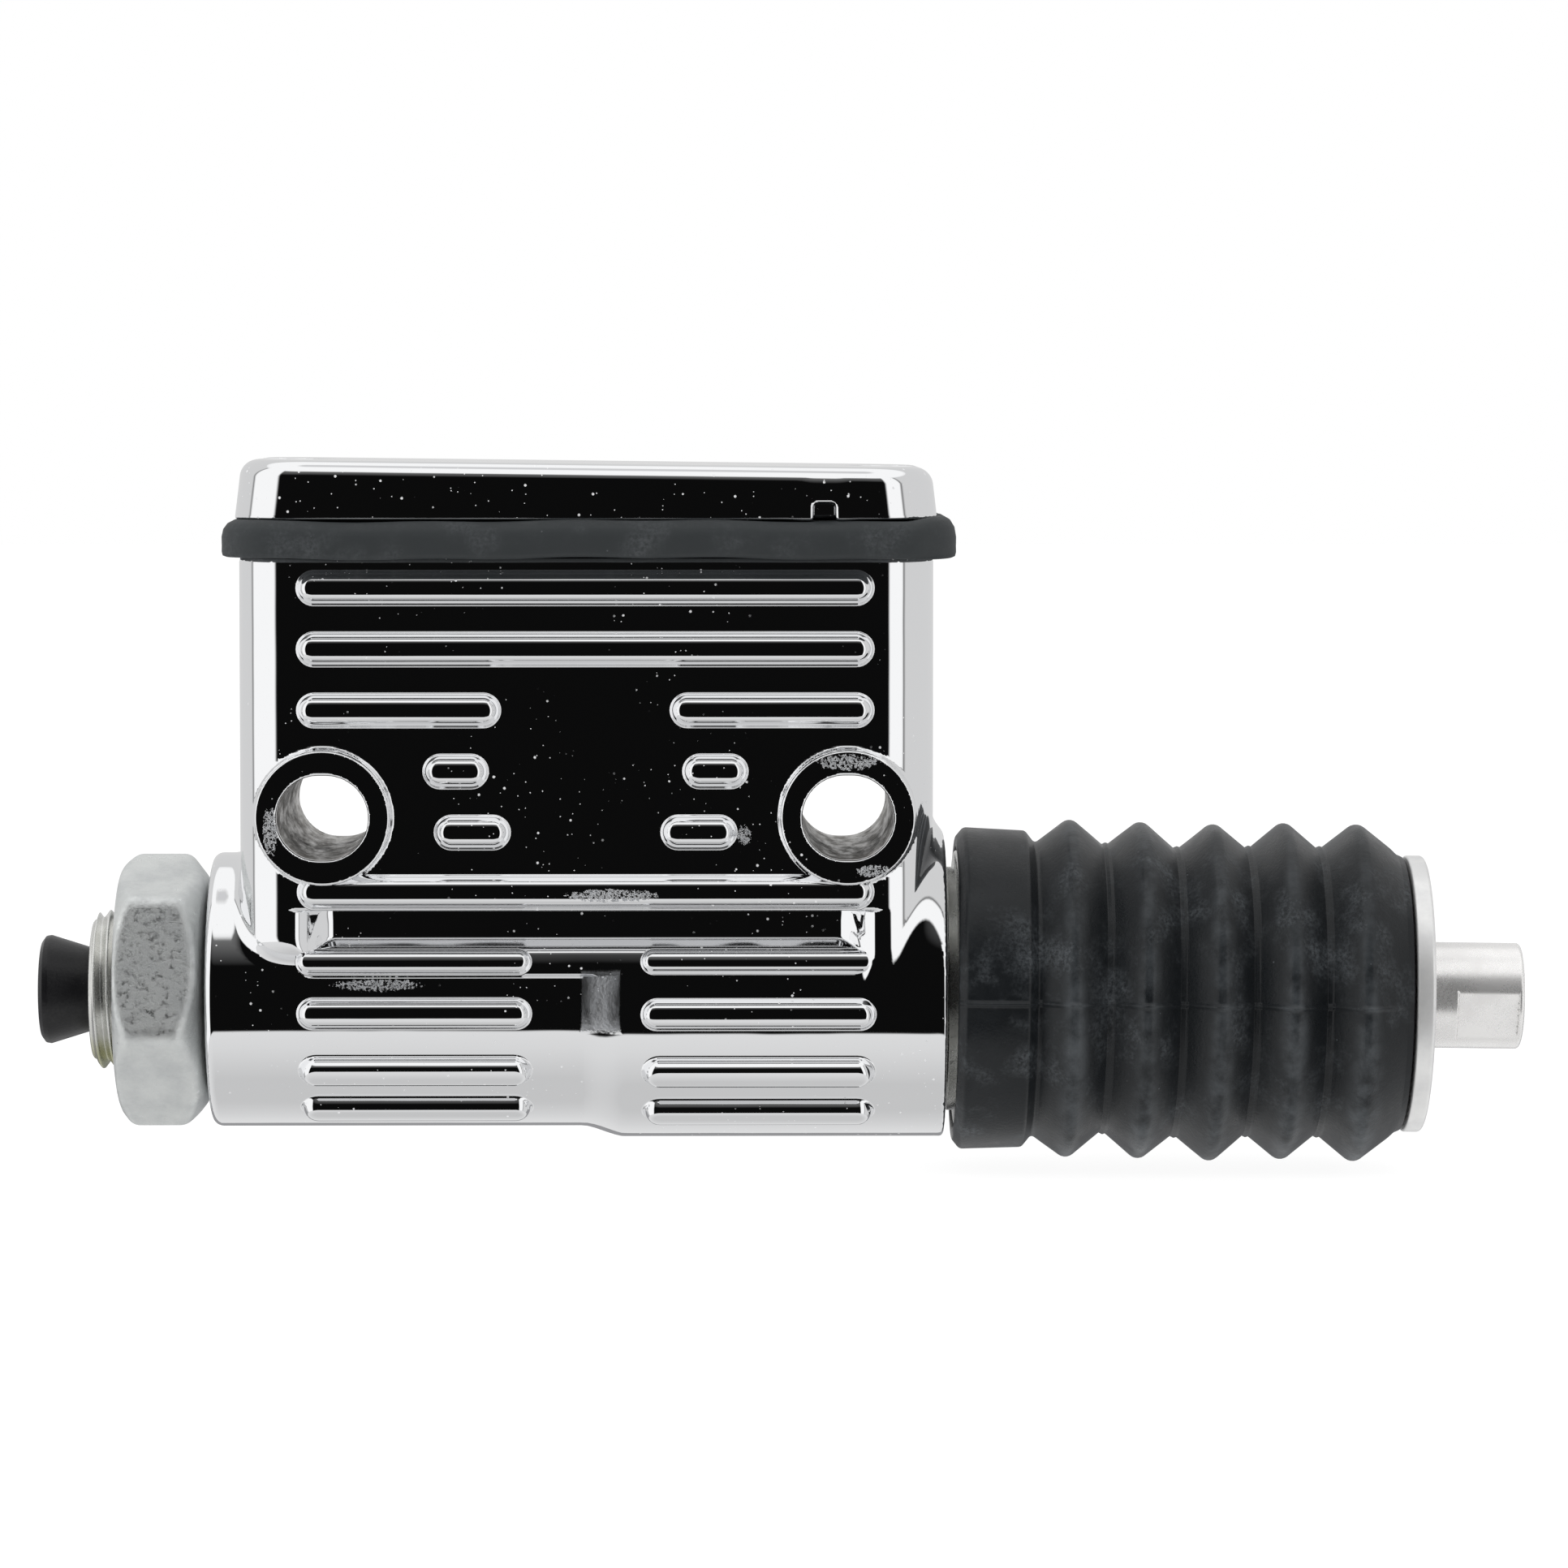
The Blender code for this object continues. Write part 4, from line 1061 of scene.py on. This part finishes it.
def make_studio():
    """A dark front with a bright card above it and at each side, a pale table below, and a pale back
    with a dark band along its foot. The camera itself sees white."""
    world = bpy.data.worlds.new("studio")
    bpy.context.scene.world = world
    world.use_nodes = True
    tree = world.node_tree
    axes = add(tree, "SeparateXYZ", {0: add(tree, "TexCoord").outputs["Generated"]})
    east, north, up = axes.outputs
    elevation = plus(tree, calculate(tree, "DIVIDE", calculate(tree, "ARCSINE", up), math.pi), 0.5)
    turn = calculate(tree, "ARCTAN2", east, times(tree, north, -1))
    azimuth = plus(tree, calculate(tree, "DIVIDE", turn, 2 * math.pi), 0.5)
    front = profile(tree, elevation, 180, [(25, 0.004), (28, 0.03), (46, 0.16), (50, 0.95), (53, 1.05),
                                           (79, 1.05), (84, 0.68)])
    around = profile(tree, azimuth, 360, [(-104, 0.70), (-100, 0.22), (-96, 1.05), (-50, 1.05),
                                          (-46, 0.004), (33, 0.004), (36, 1.05), (60, 1.05),
                                          (63, 0.15), (67, 0.70)])
    over = profile(tree, elevation, 180, [(70, 0), (84, 1)])
    both = {"Factor": 1.0, 6: front, 7: mixed(tree, over, around, (0.68, 0.68, 0.69))}
    light = add(tree, "Mix", both, data_type="RGBA", blend_type="LIGHTEN").outputs[2]
    behind = profile(tree, azimuth, 360, [(-112, 1), (-106, 0), (106, 0), (112, 1)])
    low = profile(tree, elevation, 180, [(-28, 1), (-11, 1), (-7, 0)])
    light = mixed(tree, times(tree, behind, low), light, (0.32, 0.32, 0.33))
    table = profile(tree, elevation, 180, [(-75, 0.62), (-45, 0.76), (-30.5, 0.80), (-29, 0)])
    below = profile(tree, elevation, 180, [(-30.5, 1), (-29, 0)])
    light = mixed(tree, below, light, table)
    seen = add(tree, "LightPath").outputs["Is Camera Ray"]
    tree.links.new(mixed(tree, seen, light, (1, 1, 1)), tree.nodes["Background"].inputs["Color"])


def make_floor(height):
    reach = 3.0
    mesh = bpy.data.meshes.new("floor")
    mesh.from_pydata([(-reach, -reach, height), (reach, -reach, height), (reach, reach, height),
                      (-reach, reach, height)], [], [(0, 1, 2, 3)])
    floor = bpy.data.objects.new("floor", mesh)
    bpy.context.scene.collection.objects.link(floor)
    floor.data.materials.append(floor_material())
    floor.visible_glossy = False


def make_light(name, place_at, aim, size, power):
    lamp = bpy.data.lights.new(name, "AREA")
    lamp.shape = "RECTANGLE"
    lamp.size, lamp.size_y = size
    lamp.energy = power
    made = bpy.data.objects.new(name, lamp)
    bpy.context.scene.collection.objects.link(made)
    made.location = place_at
    made.rotation_euler = (Vector(aim) - Vector(place_at)).to_track_quat("-Z", "Y").to_euler()
    made.visible_glossy = False
    made.visible_camera = False


def make_camera():
    data = bpy.data.cameras.new("camera")
    data.lens = 140.2
    data.sensor_width = 36
    made = bpy.data.objects.new("camera", data)
    made.location = (0.0609, -0.730, 0.0714)
    made.rotation_euler = (math.radians(90 - 3.67), 0, math.radians(-0.586))
    bpy.context.scene.collection.objects.link(made)
    bpy.context.scene.camera = made


make_studio()
make_floor(CAD_BOX[0][2] - 0.0006)
make_light("soft_key", (-0.35, -0.55, 0.75), (0.07, 0, 0.02), (0.6, 0.6), 4)
make_camera()
bpy.context.scene.view_settings.view_transform = "Standard"
